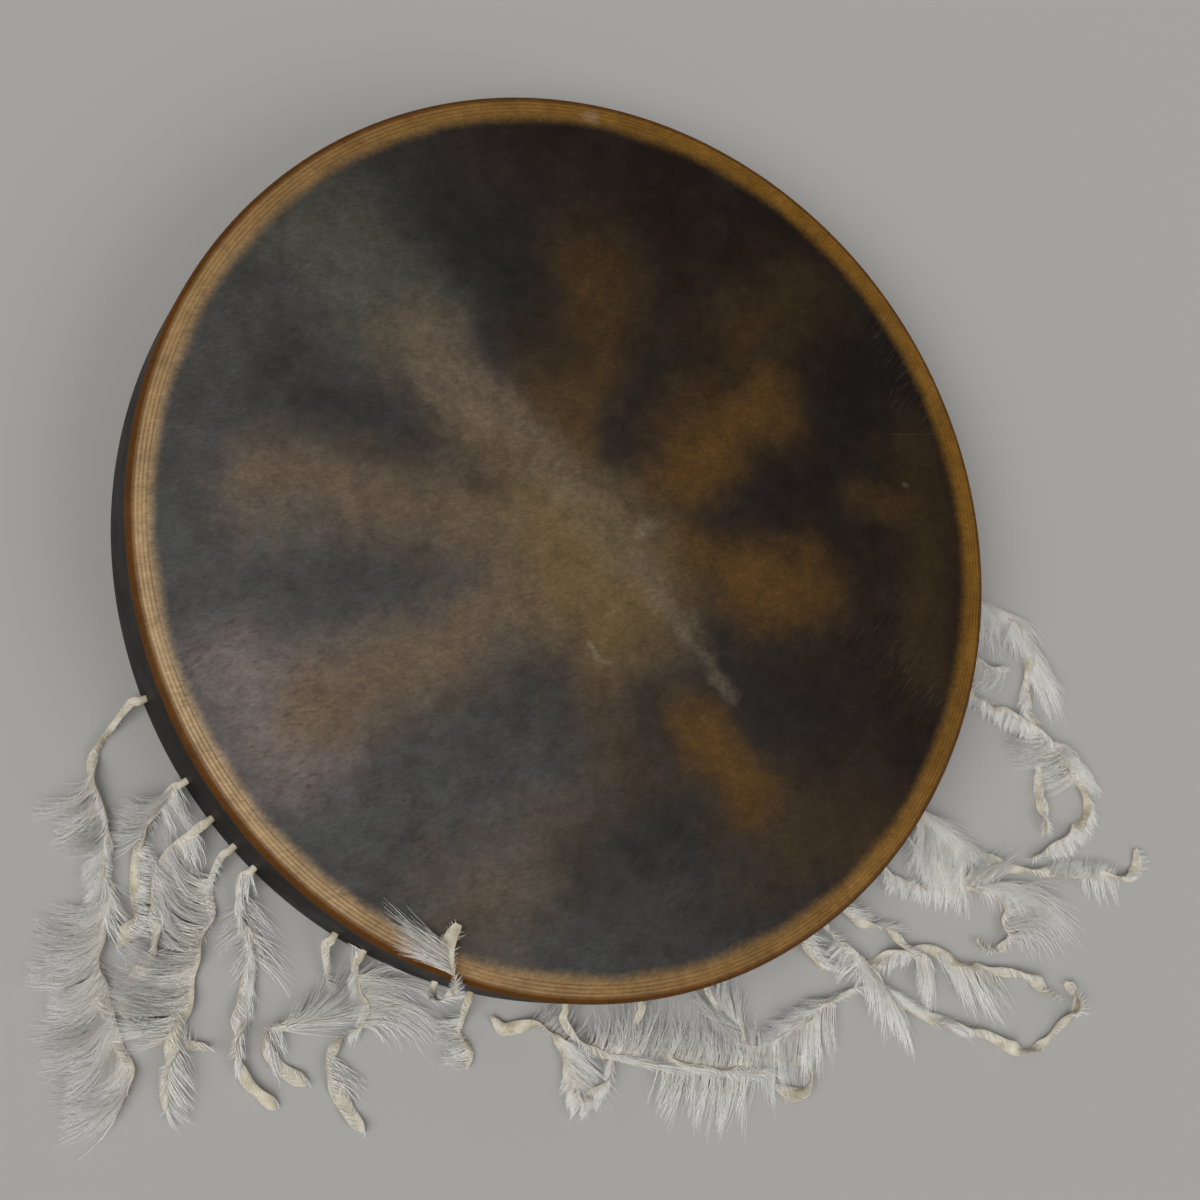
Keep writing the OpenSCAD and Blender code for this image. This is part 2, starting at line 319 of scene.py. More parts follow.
def carried_frames(path: Array, first_up: Array) -> tuple[Array, Array, Array]:
    """Carry an upright direction along a path without needless turning.

    Args:
        path: Points along the path.
        first_up: The upright direction at its start.

    Returns:
        The tangents, the upright directions and the sideways directions.
    """
    tangents = unit(np.gradient(path, axis=0))
    ups = []
    up = np.asarray(first_up, float)
    for tangent in tangents:
        up = unit(up - (up @ tangent) * tangent)
        ups.append(up)
    ups = np.array(ups)
    return tangents, ups, np.cross(tangents, ups)


def tube_faces(rings: int, sides: int, closed: bool = False) -> list[tuple[int, ...]]:
    """List the faces of a tube made of rings.

    Args:
        rings: Count of rings.
        sides: Vertices in one ring.
        closed: Whether the last ring joins the first, instead of both ends being capped.

    Returns:
        The faces, pointing outwards for rings that turn to the left about the path.
    """
    faces = []
    for i in range(rings if closed else rings - 1):
        a, b = i * sides, (i + 1) % rings * sides
        faces += [(a + k, b + k, b + (k + 1) % sides, a + (k + 1) % sides) for k in range(sides)]
    if not closed:
        faces += [tuple(range(sides)), tuple(range(rings * sides - 1, (rings - 1) * sides - 1, -1))]
    return faces


@dataclass(frozen=True)
class Drum:
    """Sizes that several pieces of the drum share, in metres."""

    radius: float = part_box("head_hide")[1].x
    height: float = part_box("head_hide")[1].z
    hide_t: float = 1.2 * MM
    hide_gap: float = 0.25 * MM
    edge_r: float = 3.0 * MM
    back_r: float = 2.0 * MM
    ply_t: float = 2.0 * MM
    glue_gap: float = 0.1 * MM
    ply_count: int = 5
    flap_run: float = 15.0 * MM
    flap_rise: float = 11.0 * MM
    scallop_in: float = 3.0 * MM
    tongue_w: float = 18.0 * MM
    lace_hole_in: float = 6.0 * MM
    lace_hole_d: float = 4.4 * MM
    lace_hole_count: int = 16
    thong_z: float = 11.0 * MM
    thong_d: float = 5.0 * MM
    thong_gap: float = 0.2 * MM

    @property
    def ply_pitch(self) -> float:
        """Step from one ply to the next."""
        return self.ply_t + self.glue_gap

    @property
    def hoop_in(self) -> float:
        """Inside radius of the hoop."""
        return self.radius - self.hide_t - self.hide_gap - self.ply_count * self.ply_pitch + self.glue_gap

    @property
    def ply_seams(self) -> list[float]:
        """Radii of the glue lines between the plies."""
        return [self.hoop_in + k * self.ply_pitch - self.glue_gap / 2 for k in range(1, self.ply_count)]

    @property
    def flap_foot(self) -> Array:
        """Radius and height where the turned flap leaves the hoop."""
        return np.array([self.hoop_in - self.hide_gap, 0.0])

    @property
    def flap_along(self) -> Array:
        """Direction of the flap towards its edge, as radius and height."""
        return unit(np.array([-self.flap_run, self.flap_rise]))

    @property
    def flap_up(self) -> Array:
        """Direction square to the flap, as radius and height."""
        return unit(np.array([self.flap_rise, self.flap_run]))

    @property
    def flap_len(self) -> float:
        """Length of the flap."""
        return math.hypot(self.flap_run, self.flap_rise)

    @property
    def lace_hole(self) -> Array:
        """Radius and height of the lace holes' middles."""
        along = self.flap_len - self.lace_hole_in
        return self.flap_foot + along * self.flap_along + self.hide_t / 2 * self.flap_up


DRUM = Drum()


class Finish:
    """A material that is built once and shared."""

    name = "finish"
    made: Material | None = None

    def material(self) -> Material:
        """Build the material at its first use.

        Returns:
            The shared material.
        """
        if type(self).made is None:
            material = bpy.data.materials.new(self.name)
            material.use_nodes = True
            material.node_tree.nodes.clear()
            node = partial(add, material.node_tree)
            shader = node("ShaderNodeBsdfPrincipled", self.dress(node))
            node("ShaderNodeOutputMaterial", {"Surface": shader})
            type(self).made = material
        return type(self).made

    def dress(self, node: Adder) -> dict[str, Any]:
        """Make the nodes of colour, gloss and relief.

        Args:
            node: Adds a node to the material.

        Returns:
            What goes into each input of the surface shader.
        """
        raise NotImplementedError

    @staticmethod
    def places(node: Adder) -> Node:
        """Give the surface's own coordinates, in millimetres."""
        return node(VECTOR, {0: node("ShaderNodeTexCoord").outputs["Object"], "Scale": 1 / MM}, "SCALE")


@dataclass(frozen=True)
class Mark:
    """A soft mark on the hide, between two points of the head, in millimetres."""

    start: Pair
    end: Pair
    half_width: float
    feather: float
    strength: float = 1.0


@dataclass(frozen=True)
class SmokedRawhide(Finish):
    """Scraped rawhide, cured in smoke, stretched wet and oiled: dark, mottled, with a soft sheen.

    Over the hoop the dry hide is translucent, so that the rim shows the golden wood below it and
    the dark glue lines of the plies. The brown rays and dark clouds are the hide's own mottling.
    Its colour also holds painted light: brighter and greyer on the side where the light falls, with a
    painted highlight on the rim there, and painted shade on the wall and in the creases.
    """

    name = "smoked_rawhide"
    # The slate is partly the hide's own colour and partly painted sheen, on the side towards the light.
    slate: str = "#434342"
    umber: str = "#251b14"
    haze_tint: str = "#38322b"
    heart: str = "#69573a"
    ray: str = "#503b1f"
    # Paler, greyer rays on the side towards the light: partly painted sheen.
    pale_ray: str = "#5d4f40"
    amber: str = "#5f431f"
    cloud: str = "#1d1c1a"
    moss: str = "#57574b"
    spine: str = "#6d6150"
    pale: str = "#857d6b"
    # Tint of a patch of painted light, where the light falls on the hide.
    blush: str = "#625956"
    # The wall's near-black is partly its own dark hide and partly painted shade.
    wall: str = "#191613"
    gold: str = "#73511b"
    gold_deep: str = "#654615"
    # Painted highlight: the gold's pale tone where the light falls on the rim.
    gold_pale: str = "#b69b77"
    gold_edge: str = "#4f2e08"
    seam: str = "#41240c"
    hearts: tuple[Mark, ...] = (
        Mark((-18, 0), (14, -36), 22, 46), Mark((-62, 30), (-30, -22), 14, 40, 0.25),
        Mark((0, -40), (30, -56), 12, 34, 0.4))
    rays: tuple[Mark, ...] = (
        Mark((-22, 60), (-4, 144), 17, 34, 0.75), Mark((40, 34), (106, 86), 9, 32, 0.95),
        Mark((34, 58), (70, 118), 5, 28, 0.5), Mark((70, 112), (132, 160), 10, 40, 0.55),
        Mark((52, -8), (132, -25), 10, 32), Mark((158, 36), (202, 44), 3, 16, 0.8),
        Mark((56, -108), (88, -142), 11, 32, 0.95), Mark((-10, -60), (18, -132), 9, 34, 0.38),
        Mark((100, -150), (168, -160), 12, 50, 0.5), Mark((206, 60), (214, -60), 8, 38, 0.6))
    # The rays on the side towards the light, paler and greyer partly as painted sheen.
    pale_rays: tuple[Mark, ...] = (
        Mark((-34, -30), (-150, -108), 8, 38, 0.95), Mark((-45, 4), (-172, 10), 8, 40, 0.9),
        Mark((-106, 92), (-46, 40), 6, 28, 0.85), Mark((-26, -165), (-70, -205), 6, 44, 0.55))
    ambers: tuple[Mark, ...] = (
        Mark((56, 44), (102, 80), 4, 27, 0.75), Mark((96, -16), (128, -24), 5, 27, 0.8),
        Mark((64, -112), (84, -136), 5, 27, 0.75), Mark((-4, 84), (2, 124), 6, 28, 0.25),
        Mark((-6, -12), (18, -44), 8, 34, 0.5))
    clouds: tuple[Mark, ...] = (
        Mark((-78, 158), (-24, 104), 12, 38, 0.55), Mark((-172, 64), (-112, 42), 12, 36, 0.45),
        Mark((-172, -52), (-112, -26), 10, 32, 0.22), Mark((-116, -112), (-48, -92), 10, 32, 0.2),
        Mark((-6, -176), (46, -158), 12, 38, 0.45), Mark((66, 20), (146, 40), 5, 26, 0.28),
        Mark((58, 118), (8, 48), 4, 20, 0.55), Mark((-66, 22), (-56, 16), 3, 12, 0.4),
        Mark((146, 74), (174, 104), 10, 32, 0.4), Mark((72, -72), (126, -102), 7, 28, 0.36),
        Mark((30, -92), (32, -118), 4, 18, 0.4))
    mosses: tuple[Mark, ...] = (Mark((-148, 142), (-118, 104), 8, 48, 0.6),)
    spines: tuple[Mark, ...] = (
        Mark((-106, 90), (-70, 62), 1, 18, 0.42), Mark((-74, 69), (-8, 20), 1, 19, 0.4),
        Mark((-8, 18), (30, -18), 3, 22, 0.3), Mark((28, -16), (54, -48), 0.5, 15, 0.52),
        Mark((52, -46), (80, -84), 0.3, 10, 0.38))
    nicks: tuple[Mark, ...] = (
        Mark((25, 2), (30, 6), 2, 5, 0.38), Mark((-5, -62), (-1, -69), 0.6, 2.2, 0.4),
        Mark((2, -71), (8, -72), 0.4, 1.8, 0.25), Mark((196, 47), (198, 47), 0.6, 1.8, 0.35),
        Mark((188, 77), (228, 82), 0.05, 0.5, 0.15))
    rim_scar: Mark = Mark((-6, 241), (-3, 241), 1.5, 4.5, 0.3)
    # Where the patch of painted light lies.
    blushed: Mark = Mark((-194, -88), (-160, -126), 14, 34)
    # Where the short creases lie; painted shade darkens them.
    creased: Mark = Mark((-196, -88), (-126, -160), 26, 50)
    wrinkled: tuple[Mark, ...] = (
        Mark((188, 150), (212, 95), 12, 26), Mark((178, -42), (212, -76), 14, 30),
        Mark((30, -170), (60, -190), 8, 30, 0.6))
    # Painted light: the hide is brightest at this place, on the side where the light falls; the next
    # pair gives its brightness there and what it loses on each millimetre away, as painted shade.
    palest: Pair = (-190.0, -100.0)
    smoked: Pair = (1.3, 0.0021)
    # The ground turns from slate to umber along this direction, between these distances: partly the
    # hide's own tone, and partly painted sheen that greys the side towards the light.
    darker: Triple = (0.85, 0.53, 0.0)
    darkening: Pair = (-150.0, 130.0)
    # Flecks of about 2.6 mm and a haze of about 30 mm break up the marks, and blotches of about 11 mm
    # show where the fat was scraped off unevenly.
    fleck: float = 2.6
    haze: float = 30.0
    blotch: float = 11.0
    # Its fibres are hair-thin and about 7 mm long, in two main directions.
    fibre: Pair = (7.0, 0.9)
    fibre_slants: Pair = (-36.0, -10.0)
    # The hide's grain is about 0.4 mm across; it is drawn at 1.3 mm, so that it shows.
    grain: float = 1.3
    # Roughness where the haze is thinnest and thickest.
    sheen: Pair = (0.44, 0.58)
    # Sizes of the noises that bend the marks' outlines, and how far each moves them.
    drifts: tuple[Pair, ...] = ((80.0, 46.0), (30.0, 22.0), (9.0, 15.0))
    # Short creases and hairline wrinkles: slant, length and width, and where in the noise they begin and
    # are full. They end at the bearing edge, between these distances below the head.
    folds: tuple[tuple[float, Pair, float, float], ...] = (
        (-24, (7.0, 2.2), 0.54, 0.70), (-52, (16.0, 1.7), 0.56, 0.72))
    folds_end: Pair = (4.0, 1.5)
    # How strongly painted shade darkens the creases, and how much the wrinkles pale the hide.
    fold_tints: Pair = (0.42, 0.08)
    # The rim, in millimetres from the drum's edge: where its gold begins and is full, and where its edge
    # darkens. Noise of about 40 mm, flecks and the painted light on the lit side move the gold's border by
    # so much.
    glow: Pair = (18.6, 9.0)
    edge: Pair = (4.6, 2.2)
    rim_drift: float = 40.0
    glow_moves: Triple = (6.0, 3.2, -3.0)
    # Painted highlight: the gold pales towards the side where the light falls, from this far away.
    pale_reach: float = 440.0
    # A glue line's dark begins and is full this far from it; the wall's dark, partly painted shade,
    # begins and is full this far below the head.
    seam_half: Pair = (0.6, 0.1)
    wall_from: Pair = (3.5, 7.0)

    @staticmethod
    def mark_group() -> Tree:
        """Make the node group that draws one mark.

        Returns:
            The group, from a place and a mark's sizes to its strength there.
        """
        group, node, given = new_group("hide_mark", "ShaderNodeTree", ("Strength", "Float"),
                                       Vector=("Place", "Start", "Span"), Float=("Near", "Far", "Peak"))
        away = node(VECTOR, (given["Place"], given["Start"]), "SUBTRACT")
        ahead = node(VECTOR, (away, given["Span"]), "DOT_PRODUCT")
        whole = node(VECTOR, (given["Span"], given["Span"]), "DOT_PRODUCT")
        share = node(MATH, (ahead, whole), "DIVIDE", use_clamp=True)
        foot = node(VECTOR, {0: given["Span"], "Scale": share}, "SCALE")
        gap = node(VECTOR, (away, foot), "DISTANCE")
        soft = node(RANGE, (gap, given["Far"], given["Near"], 0.0, given["Peak"]), **SOFT)
        node("NodeGroupOutput", (soft,))
        return group

    def marked(self, node: Adder, place: Any, *marks: Mark) -> Node:
        """Join several marks into one mask.

        Args:
            node: Adds a node to the material.
            place: The place on the head, in millimetres.
            *marks: The marks to join.

        Returns:
            The node that gives the mask.
        """
        group = bpy.data.node_groups.get("hide_mark") or self.mark_group()
        mask = None
        for mark in marks:
            drawn = node("ShaderNodeGroup", {
                "Place": place, "Start": (*mark.start, 0.0), "Peak": mark.strength,
                "Span": (mark.end[0] - mark.start[0], mark.end[1] - mark.start[1], 0.0),
                "Near": max(mark.half_width - mark.feather / 2, 0.0),
                "Far": mark.half_width + mark.feather}, node_tree=group)
            mask = drawn if mask is None else node(MATH, (mask, drawn), "MAXIMUM")
        return mask

    def dress(self, node: Adder) -> dict[str, Any]:
        """Make the hide's mottling, rim, grain and sheen.

        Args:
            node: Adds a node to the material.

        Returns:
            What goes into each input of the surface shader.
        """
        place = self.places(node)
        head = node(VECTOR, (place, (1.0, 1.0, 0.0)), "MULTIPLY")
        bent = head
        for size, reach in self.drifts:
            swirl = node(NOISE, {"Vector": head, "Scale": 1 / size, "Detail": 3.0}).outputs["Color"]
            pull = node(VECTOR, (swirl, (0.5, 0.5, 0.5)), "SUBTRACT")
            bent = node(VECTOR, (pull, (reach, reach, 0.0), bent), "MULTIPLY_ADD")
        fleck = node(NOISE, {"Vector": place, "Scale": 1 / self.fleck, "Detail": 4.0, "Roughness": 0.7})
        level = node(VECTOR, (place, (0.0, 0.0, DRUM.height / MM)), "SUBTRACT")
        haze = node(NOISE, {"Vector": level, "Scale": 1 / self.haze, "Detail": 5.0, "Roughness": 0.6})
        # Partly the hide's own tone and partly painted sheen: slate towards the light, umber away from it.
        slope = node(VECTOR, (bent, self.darker), "DOT_PRODUCT")
        tone = node(RANGE, (slope, *self.darkening), **SOFT)
        colour = node(MIX, {0: tone, 6: linear(self.slate), 7: linear(self.umber)}, **TINT)
        cloudy = node(RANGE, (haze, 0.42, 0.7, 0.0, 0.42))
        colour = node(MIX, {0: cloudy, 6: colour, 7: linear(self.haze_tint)}, **TINT)
        ragged = node(MATH, (fleck, haze), "ADD")
        ragged = node(MATH, (ragged, 1.0), "SUBTRACT")
        # Each layer: its marks, its tint, whether its outline is bent, and how far noise breaks it up.
        # The first is a patch of painted light, where the light falls.
        layers = (
            ((self.blushed,), self.blush, bent, 0.5), (self.mosses, self.moss, bent, 0.7),
            (self.rays, self.ray, bent, 0.9), (self.pale_rays, self.pale_ray, bent, 0.9),
            (self.ambers, self.amber, bent, 0.9), (self.hearts, self.heart, bent, 0.7),
            (self.clouds, self.cloud, bent, 0.8), (self.spines, self.spine, bent, 1.7),
            (self.nicks, self.pale, head, 2.0),
        )
        for marks, tint, where, broken in layers:
            mask = self.marked(node, where, *marks)
            worn = node(MATH, (ragged, broken, 1.0), "MULTIPLY_ADD")
            shown = node(MATH, (mask, worn), "MULTIPLY", use_clamp=True)
            colour = node(MIX, {0: shown, 6: colour, 7: linear(tint)}, **TINT)
        # Painted light: brighter on the side where the light falls, darker away from it.
        far = node(VECTOR, (bent, (*self.palest, 0.0)), "DISTANCE")
        smoke = node(MATH, (far, -self.smoked[1], self.smoked[0]), "MULTIPLY_ADD")
        colour = node(VECTOR, {0: colour, "Scale": smoke}, "SCALE")
        colour = self.rim(node, place, head, colour, fleck)
        creases, wrinkles, height = self.relief(node, place, head, fleck, haze)
        # Painted shade darkens the creases, and the wrinkles pale the hide.
        for much, tint in ((creases, self.cloud), (wrinkles, self.pale)):
            colour = node(MIX, {0: much, 6: colour, 7: linear(tint)}, **TINT)
        blotch = node(NOISE, {"Vector": place, "Scale": 1 / self.blotch, "Detail": 3.0, "Roughness": 0.65})
        # Each noise makes the colour darker and lighter by so much.
        shades = [(fleck, 0.1), (blotch, 0.2)]
        shades += [(self.streaks(node, place, slant, self.fibre), 0.1) for slant in self.fibre_slants]
        speck = None
        for noise, reach in shades:
            part = node(RANGE, (noise, *WIDE, 1 - reach, 1 + reach))
            speck = part if speck is None else node(MATH, (speck, part), "MULTIPLY")
        return {
            "Base Color": node(VECTOR, {0: colour, "Scale": speck}, "SCALE"),
            "Roughness": node(RANGE, (haze, *MIDDLE, *self.sheen)),
            "Normal": node(BUMP, {"Height": height, "Strength": 0.35, "Distance": 0.25 * MM}),
            "IOR": 1.45, "Specular IOR Level": 0.12}

    def rim(self, node: Adder, place: Any, head: Any, colour: Any, fleck: Any) -> Node:
        """Lay the golden rim, with its painted highlight, and the dark wall over the head's colour.

        Args:
            node: Adds a node to the material.
            place: The place on the surface, in millimetres.
            head: The same place, flattened.
            colour: The head's colour so far.
            fleck: Fine noise that breaks up the edges.

        Returns:
            The node that gives the colour.
        """
        radius, top = DRUM.radius / MM, DRUM.height / MM
        out = node(VECTOR, (head,), "LENGTH")
        drift = node(NOISE, {"Vector": head, "Scale": 1 / self.rim_drift, "Detail": 2.0})
        wavy = out
        for noise, reach in zip((drift, fleck), self.glow_moves):
            shift = node(MATH, (noise, 0.5), "SUBTRACT")
            wavy = node(MATH, (shift, reach, wavy), "MULTIPLY_ADD")
        lit = node(RANGE, (drift, *MIDDLE))
        gold = node(MIX, {0: lit, 6: linear(self.gold), 7: linear(self.gold_deep)}, **TINT)
        # Painted highlight: the gold pales towards the side where the light falls, and begins further out
        # there.
        paler = node(VECTOR, (head, (*self.palest, 0.0)), "DISTANCE")
        paler = node(RANGE, (paler, self.pale_reach, 0.0))
        paler = node(MATH, (paler, 1.6), "POWER")
        gold = node(MIX, {0: paler, 6: gold, 7: linear(self.gold_pale)}, **TINT)
        wavy = node(MATH, (paler, self.glow_moves[2], wavy), "MULTIPLY_ADD")
        glow = node(RANGE, (wavy, *(radius - gap for gap in self.glow)), **SOFT)
        colour = node(MIX, {0: glow, 6: colour, 7: gold}, **TINT)
        edge = node(RANGE, (out, *(radius - gap for gap in self.edge)))
        lines = None
        for seam in DRUM.ply_seams:
            gap = node(MATH, (out, seam / MM), "SUBTRACT")
            gap = node(MATH, (gap,), "ABSOLUTE")
            line = node(RANGE, (gap, *self.seam_half, 0.0, 0.5), **SOFT)
            lines = line if lines is None else node(MATH, (lines, line), "MAXIMUM")
        faint = node(RANGE, (drift, *MIDDLE, 0.5))
        lines = node(MATH, (lines, faint), "MULTIPLY")
        scar = self.marked(node, head, self.rim_scar)
        # The dark wall below the edge: its own dark hide, and painted shade.
        height = node(SPLIT, (place,)).outputs["Z"]
        side = node(RANGE, (height, *(top - gap for gap in self.wall_from)), **SOFT)
        tints = ((edge, self.gold_edge), (lines, self.seam), (scar, self.pale), (side, self.wall))
        for much, tint in tints:
            colour = node(MIX, {0: much, 6: colour, 7: linear(tint)}, **TINT)
        return colour

    @staticmethod
    def streaks(node: Adder, place: Any, slant: float, size: Pair) -> Node:
        """Make noise that is drawn out in one direction.

        Args:
            node: Adds a node to the material.
            place: The place on the surface, in millimetres.
            slant: Angle that turns the direction onto X, in degrees.
            size: Length and width of a streak, in millimetres.

        Returns:
            The node that gives the noise.
        """
        turned = node("ShaderNodeVectorRotate", {"Vector": place, "Angle": math.radians(slant)},
                      rotation_type="Z_AXIS")
        shrunk = node(VECTOR, (turned, (1 / size[0], 1 / size[1], 1.0)), "MULTIPLY")
        return node(NOISE, {"Vector": shrunk, "Scale": 1.0, "Detail": 2.0, "Distortion": 0.8})

    def relief(self, node: Adder, place: Any, head: Any, fleck: Any, haze: Any) -> tuple[Node, Node, Node]:
        """Draw the short creases, the fine wrinkles and the grain.

        Args:
            node: Adds a node to the material.
            place: The place on the surface, in millimetres.
            head: The same place, flattened.
            fleck: Fine noise.
            haze: Broad noise, which leaves the creases in patches.

        Returns:
            The strength of the painted shade in the creases, that of the pale wrinkles, and the height
            for the relief.
        """
        height = node(SPLIT, (place,)).outputs["Z"]
        on_head = node(RANGE, (height, *(DRUM.height / MM - gap for gap in self.folds_end)))
        drawn = []
        for (slant, size, low, high), marks in zip(self.folds, ((self.creased,), self.wrinkled)):
            lines = node(RANGE, (self.streaks(node, head, slant, size), low, high, 0.0, on_head))
            drawn.append(node(MATH, (lines, self.marked(node, head, *marks)), "MULTIPLY"))
        patchy = node(RANGE, (haze, 0.4, 0.6, 0.15))
        drawn[0] = node(MATH, (drawn[0], patchy), "MULTIPLY")
        creases, wrinkles = drawn
        pores = node("ShaderNodeTexVoronoi", {"Vector": place, "Scale": 1 / self.grain},
                     feature="SMOOTH_F1")
        relief = fleck
        # How high each part stands beside the flecks.
        for part, high in ((pores, 0.5), (creases, -1.6), (wrinkles, 1.5)):
            relief = node(MATH, (part, high, relief), "MULTIPLY_ADD")
        # Painted shade in the creases, and the pale lines of the wrinkles.
        dark, pale = (node(MATH, pair, "MULTIPLY") for pair in zip(drawn, self.fold_tints))
        return dark, pale, relief


@dataclass(frozen=True)
class BentAsh(Finish):
    """Steam-bent ash plies, planed and oiled: pale tan, with long grain round the hoop."""

    name = "bent_ash"
    early: str = "#c79a62"
    late: str = "#8e6234"
    # Spacing of the year lines, and the length that one line runs round the hoop, in millimetres.
    line: float = 2.2
    run: float = 150.0
    # Roughness where the grain is lowest and highest.
    sheen: Pair = (0.5, 0.68)

    def dress(self, node: Adder) -> dict[str, Any]:
        """Make long grain that follows the hoop.

        Args:
            node: Adds a node to the material.

        Returns:
            What goes into each input of the surface shader.
        """
        place = self.places(node)
        split = node(SPLIT, (place,)).outputs
        turn = node(MATH, (split["Y"], split["X"]), "ARCTAN2")
        out = node(VECTOR, (place, (1.0, 1.0, 0.0)), "MULTIPLY")
        out = node(VECTOR, (out,), "LENGTH")
        spread = ((turn, DRUM.radius / MM / self.run), (split["Z"], 1 / self.line), (out, 1 / self.line))
        unrolled = node(JOIN, [node(MATH, pair, "MULTIPLY") for pair in spread])
        grain = node(NOISE, {"Vector": unrolled, "Scale": 1.0, "Detail": 4.0})
        ramp = node(RANGE, (grain, *CLOUDED))
        colour = node(MIX, {0: ramp, 6: linear(self.early), 7: linear(self.late)}, **TINT)
        return {
            "Base Color": colour,
            "Roughness": node(RANGE, (grain, 0.0, 1.0, *self.sheen)),
            "Normal": node(BUMP, {"Height": grain, "Strength": 0.25, "Distance": 0.2 * MM})}


@dataclass(frozen=True)
class Tanned(Finish):
    """A hide or metal finish whose two colours are clouded by noise, with a fine relief."""

    base: str = "#c9ba98"
    stain: str = "#a58d62"
    # Size of the clouds and of the relief, in millimetres.
    cloud: float = 14.0
    relief: float = 1.2
    depth: float = 0.15
    shine: Pair = (0.5, 0.7)
    metallic: float = 0.0

    def dress(self, node: Adder) -> dict[str, Any]:
        """Make clouded colour and fine relief.

        Args:
            node: Adds a node to the material.

        Returns:
            What goes into each input of the surface shader.
        """
        place = self.places(node)
        clouds = node(NOISE, {"Vector": place, "Scale": 1 / self.cloud, "Detail": 5.0, "Roughness": 0.6})
        fine = node(NOISE, {"Vector": place, "Scale": 1 / self.relief, "Detail": 3.0})
        ramp = node(RANGE, (clouds, *CLOUDED))
        colour = node(MIX, {0: ramp, 6: linear(self.base), 7: linear(self.stain)}, **TINT)
        return {
            "Base Color": colour,
            "Roughness": node(RANGE, (clouds, *WIDE, *self.shine)),
            "Normal": node(BUMP, {"Height": fine, "Strength": 0.5, "Distance": self.depth * MM}),
            "Metallic": self.metallic}


@dataclass(frozen=True)
class LaceRawhide(Tanned):
    """Cut and twisted rawhide lace: honey brown and slightly glossy."""

    name = "lace_rawhide"
    base: str = "#b3905c"
    stain: str = "#8a6636"


@dataclass(frozen=True)
class ForgedIron(Tanned):
    """Hand-forged iron, oiled black: dark scale with brown patches and hammered dents."""

    name = "forged_iron"
    base: str = "#4a4642"
    stain: str = "#5c4636"
    cloud: float = 9.0
    relief: float = 4.0
    depth: float = 0.4
    shine: Pair = (0.42, 0.66)
    metallic: float = 0.85


@dataclass(frozen=True)
class GripLeather(Tanned):
    """Oil-tanned leather, handled until dark: warm brown with a fine pebble."""

    name = "grip_leather"
    base: str = "#6d4526"
    stain: str = "#4a2d18"
    relief: float = 0.9


@dataclass(frozen=True)
class WaxedThread(Tanned):
    """Waxed linen thread: cream, dull."""

    name = "waxed_thread"
    base: str = "#d8c9a4"
    stain: str = "#bfae86"
    relief: float = 0.5


@dataclass(frozen=True)
class FringeRawhide(Tanned):
    """Air-dried goat rawhide: cream, stiff and a little translucent, stained tan in places."""

    name = "fringe_rawhide"
    base: str = "#c6bfad"
    stain: str = "#a1957b"
    cloud: float = 11.0
    relief: float = 0.8
    depth: float = 0.2


@dataclass(frozen=True)
class GoatHair(Finish):
    """White goat hair: cool white, creamier at the root, each hair varied, locks greyed by painted shade.
    """

    name = "goat_hair"
    root: str = "#dcd8ce"
    tip: str = "#f8f8f6"
    # Grey of the greyer hairs: their own tone, and painted shade between the locks.
    dull: str = "#b8b5af"

    def dress(self, node: Adder) -> dict[str, Any]:
        """Make the change of colour along and between the hairs.

        Args:
            node: Adds a node to the material.

        Returns:
            What goes into each input of the surface shader.
        """
        along, shade = (node("ShaderNodeAttribute", attribute_name=label).outputs["Fac"]
                        for label in ("tip", "shade"))
        colour = node(MIX, {0: along, 6: linear(self.root), 7: linear(self.tip)}, **TINT)
        # Greyer hairs: random tone, and painted shade between the locks.
        dull = node(RANGE, (shade, 0.0, 1.0, 0.0, 0.75))
        colour = node(MIX, {0: dull, 6: colour, 7: linear(self.dull)}, **TINT)
        return {"Base Color": colour, "Roughness": 0.45, "Specular IOR Level": 0.4}


@dataclass(frozen=True)
class StudioPaper(Finish):
    """Matt grey backdrop paper."""

    name = "studio_paper"
    grey: str = "#a5a3a0"

    def dress(self, node: Adder) -> dict[str, Any]:
        """Give the paper its plain, matt colour."""
        return {"Base Color": linear(self.grey), "Roughness": 0.9, "Specular IOR Level": 0.0}


